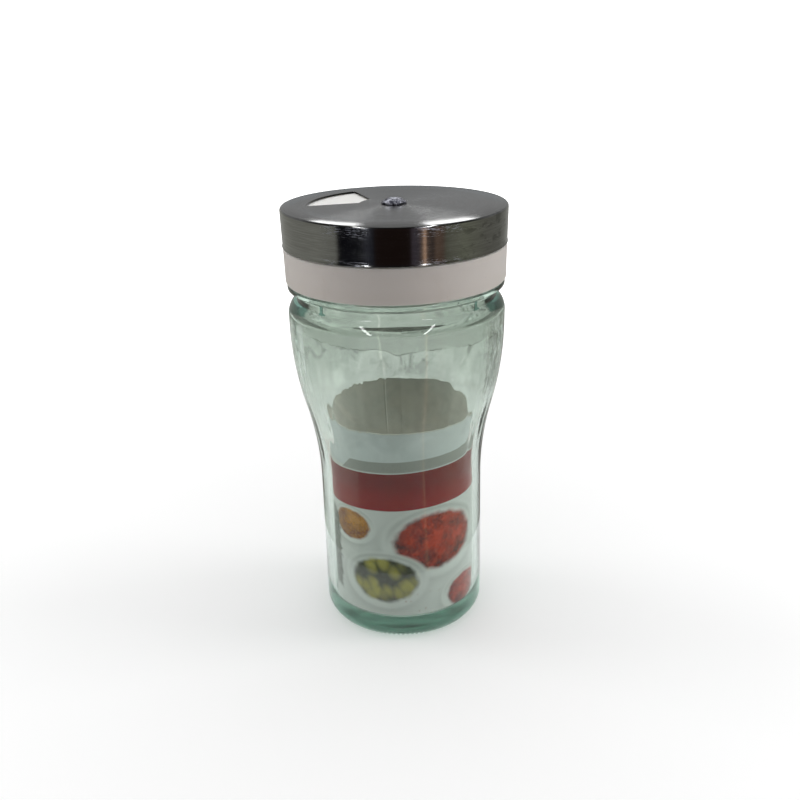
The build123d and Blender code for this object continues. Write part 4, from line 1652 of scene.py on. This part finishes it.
@dataclass
class Studio:
    """A pale floor that curves up far off, soft lamps, a grey room and the camera.

    Bearings are in degrees from the front to the right.
    """

    floor_radius: float = 5000.0
    floor_level: float = -0.05
    floor_columns: int = 96
    floor_rings: int = 8
    cove_radius: float = 300.0
    cove_rise: float = 900.0
    eye: tuple[float, float, float] = (0.0, -252.0, 172.64)
    pitch: float = 0.3904  # this, yaw and roll are in radians
    yaw: float = 0.0009
    roll: float = -0.0266
    focal_pixels: float = 908.35
    picture: int = 800
    sensor: float = 36.0
    aim: tuple[float, float, float] = (0.0, 0.0, 60.0)
    overhead: float = 1.75
    overhead_spread: float = 74.0
    softbox: tuple[float, float] = (300.0, 500.0)
    softboxes: tuple[tuple[str, tuple[float, float, float], float], ...] = (
        ("right", (700, 0, 300), 1.9), ("left", (-700, 170, 300), 1.5),
    )
    room_back: float = 0.32
    room_front: float = 0.16
    mirror_back: float = 0.30
    mirror_top: float = 0.5
    mirror_floor: float = 0.02
    card_section: tuple[Point, ...] = ((60.0, 1.0), (420.0, 1.0), (420.0, 190.0))
    card_steps: int = 112
    lid_height: float = 120.0
    panel_distance: float = 600.0
    panels: tuple[tuple[str, tuple[Point, ...], float], ...] = (
        ("back", ((176.4, 23), (171.5, 38), (166, 58), (146, 48), (159, 34), (170.5, 23)), 4.2),
        ("front", ((25, 10), (52, 54), (54, 51), (27, 8)), 14.0),
    )
    bearings: tuple[tuple[float, Colour], ...] = (
        (-180.0, (0.29, 0.305, 0.315)), (-169.0, (0.29, 0.305, 0.315)), (-161.0, (0.38, 0.38, 0.36)),
        (-136.0, (0.38, 0.38, 0.34)), (-80.0, (0.42, 0.42, 0.37)), (-58.0, (0.34, 0.34, 0.30)),
        (-55.5, (0.008, 0.008, 0.012)), (-31.0, (0.008, 0.009, 0.014)), (-28.0, (0.035, 0.038, 0.055)),
        (-21.0, (0.030, 0.032, 0.045)), (-19.0, (0.022, 0.013, 0.011)), (14.5, (0.022, 0.013, 0.011)),
        (16.0, (0.110, 0.090, 0.110)), (23.5, (0.070, 0.060, 0.075)), (25.0, (0.22, 0.14, 0.10)),
        (26.6, (0.22, 0.14, 0.10)), (27.2, (1.7, 1.05, 0.68)), (28.6, (1.7, 1.05, 0.68)),
        (29.4, (0.12, 0.075, 0.055)), (37.0, (0.060, 0.042, 0.035)), (38.5, (0.24, 0.155, 0.11)),
        (47.0, (0.18, 0.12, 0.09)), (49.0, (0.20, 0.20, 0.15)), (60.0, (0.28, 0.28, 0.22)),
        (68.0, (0.32, 0.33, 0.25)), (100.0, (0.25, 0.245, 0.21)), (125.0, (0.24, 0.24, 0.21)),
        (161.0, (0.38, 0.38, 0.36)), (169.0, (0.29, 0.305, 0.315)), (180.0, (0.29, 0.305, 0.315)),
    )

    def floor(self) -> None:
        """Lays the floor, with its far edge curved up."""
        line = Outline(0, self.floor_level).using(step=2 * self.floor_radius)
        for k in range(1, self.floor_rings + 1):
            line.to(self.floor_radius * (k / self.floor_rings) ** 2, self.floor_level)
        for turn in np.radians(np.linspace(7.5, 90, 12)):
            radius = self.floor_radius + self.cove_radius * sin(turn)
            line.to(radius, self.cove_radius * (1 - cos(turn)) + self.floor_level)
        line.to(self.floor_radius + self.cove_radius, self.cove_rise + self.floor_level)
        stage = turned("studio_floor", line, self.floor_columns, closed=False)
        material, sheet = new_material("pale_floor")
        x, y, _ = sheet.split(sheet.place())
        far = (x * x + y * y).root().rise(0.10, 0.60)
        bare = sheet.wire("ShaderNodeBsdfDiffuse", {"Color": grey(0.55)})
        pale = sheet.wire("ShaderNodeBsdfDiffuse", {"Color": grey(0.88)})
        shown = sheet.wire("ShaderNodeAddShader", {0: pale, 1: sheet.glow(grey(1.0), far.spread(0.10, 1.0))})
        sheet.show(surface=sheet.mix(sheet.ray("Camera", "Glossy", "Transmission"), bare, shown))
        stage.data.materials.append(material)

    def lamp(self, name: str, kind: str, place: Sequence[float], energy: float, **settings: object) -> None:
        """Hangs a soft lamp that faces the object and that no reflection shows.

        Args:
            name: the lamp's name.
            kind: its type.
            place: where it hangs.
            energy: its power.
            settings: its other properties.
        """
        data = bpy.data.lights.new(name, kind)
        for key, value in {**settings, "energy": energy}.items():
            setattr(data, key, value)
        lamp = bpy.data.objects.new(name, data)
        bpy.context.scene.collection.objects.link(lamp)
        lamp.location = Vector(place) * MM
        lamp.rotation_euler = (Vector(self.aim) - Vector(place)).to_track_quat("-Z", "Y").to_euler()
        lamp.visible_glossy = False

    def surround(self) -> None:
        """Stands a curved card on the floor, seen only in reflections, coloured by its bearing."""
        spots = []
        for bearing in np.radians(np.linspace(-180, 180, self.card_steps + 1)):
            spots += [(reach * sin(bearing), -reach * cos(bearing), z) for reach, z in self.card_section]
        starts = [3 * k + j for k in range(self.card_steps) for j in (0, 1)]
        material, sheet = new_material("surround_card")
        x, y, _ = sheet.split(sheet.place())
        bearing = sheet.math("ARCTAN2", x, y * -1.0) / (2 * pi)
        stops = [(angle / 360 + 0.5, level) for angle, level in self.bearings]
        sheet.show(surface=sheet.glow(sheet.ramp(bearing + 0.5, stops), 1.0))
        self.reflected("surround_card", spots, [(k, k + 3, k + 4, k + 1) for k in starts], material)

    def panel(self, name: str, corners: Sequence[Point], level: float) -> None:
        """Hangs a bright panel that only reflections see.

        Args:
            name: the panel's name.
            corners: its corners seen from the lid, by bearing and elevation.
            level: how bright it is.
        """
        spots = []
        for bearing, elevation in np.radians(corners):
            flat = cos(elevation)
            ahead = Vector((sin(bearing) * flat, -cos(bearing) * flat, sin(elevation)))
            spots.append(ahead * self.panel_distance + Vector((0, 0, self.lid_height)))
        material, sheet = new_material(name)
        sheet.show(surface=sheet.glow(grey(1.0), level))
        self.reflected(name, spots, [tuple(range(len(spots)))], material)

    def reflected(self, name: str, spots: Sequence, faces: list, material: Material) -> None:
        """Adds a backdrop that only reflections see."""
        stage = new_piece(name, np.array([tuple(spot) for spot in spots]), faces, closed=False)
        stage.data.materials.append(material)
        stage.visible_camera = stage.visible_diffuse = stage.visible_transmission = False
        stage.visible_shadow = stage.visible_volume_scatter = False

    def room(self) -> None:
        """Sets the room's grey light, dimmer towards the front, and another one for reflections."""
        world = bpy.data.worlds.new("room")
        bpy.context.scene.world = world
        world.use_nodes = True
        world.node_tree.nodes.clear()
        sheet = Sheet(world.node_tree)
        _, y, z = sheet.split(sheet.wire("ShaderNodeTexCoord", output="Generated"))
        shared = y.rise(-0.7, 0.3) * (self.room_back - self.room_front) + self.room_front
        mirrored = y.rise(-0.2, 0.6) * self.mirror_back + z.rise(0.7, 1.0) * self.mirror_top + self.mirror_floor
        glossy = sheet.ray("Glossy")
        level = glossy * mirrored + (1 - glossy) * shared
        back = sheet.wire("ShaderNodeBackground", {"Color": grey(1.0), "Strength": level})
        sheet.add("ShaderNodeOutputWorld", {0: back})

    def camera(self) -> None:
        """Stands the camera where the photograph was taken from."""
        data = bpy.data.cameras.new("photograph_view")
        data.sensor_width = self.sensor
        data.lens = self.focal_pixels / self.picture * self.sensor
        data.clip_start, data.clip_end = 0.01, 20.0
        flat = cos(self.pitch)
        ahead = Vector((sin(self.yaw) * flat, cos(self.yaw) * flat, -sin(self.pitch)))
        right = ahead.cross(Vector((0, 0, 1))).normalized()
        up = right.cross(ahead)
        right, up = right * cos(self.roll) + up * sin(self.roll), up * cos(self.roll) - right * sin(self.roll)
        camera = bpy.data.objects.new("photograph_view", data)
        bpy.context.scene.collection.objects.link(camera)
        turn = Matrix((right, up, -ahead)).transposed()
        camera.matrix_world = Matrix.Translation(Vector(self.eye) * MM) @ turn.to_4x4()
        bpy.context.scene.camera = camera

    def build(self) -> None:
        """Sets up floor, lamps, cards, room and camera."""
        self.floor()
        spread = radians(self.overhead_spread)
        self.lamp("overhead_dome", "SUN", (0, 0, 1500), self.overhead, angle=spread)
        box = {"shape": "RECTANGLE", "size": self.softbox[0] * MM, "size_y": self.softbox[1] * MM}
        for side, place, power in self.softboxes:
            self.lamp(f"{side}_softbox", "AREA", place, power, **box)
        self.surround()
        for side, mirrored in (("left", -1), ("right", 1)):
            for place, corners, level in self.panels:
                turned_corners = [(bearing * mirrored, rise) for bearing, rise in corners]
                self.panel(f"{place}_{side}_panel", turned_corners, level)
        self.room()
        self.camera()
        bpy.context.scene.view_settings.view_transform = "Standard"


def main() -> None:
    """Builds the jar, its lid and the studio."""
    logging.basicConfig(level=logging.INFO, format="%(name)s %(message)s")
    window = Window()
    GlassJar().build()
    PaperLabel().build()
    SealingLiner().build()
    ShakerCap().build(window)
    SteelCover().build(window)
    RivetSet().build()
    Studio().build()


if __name__ == "__main__":
    main()
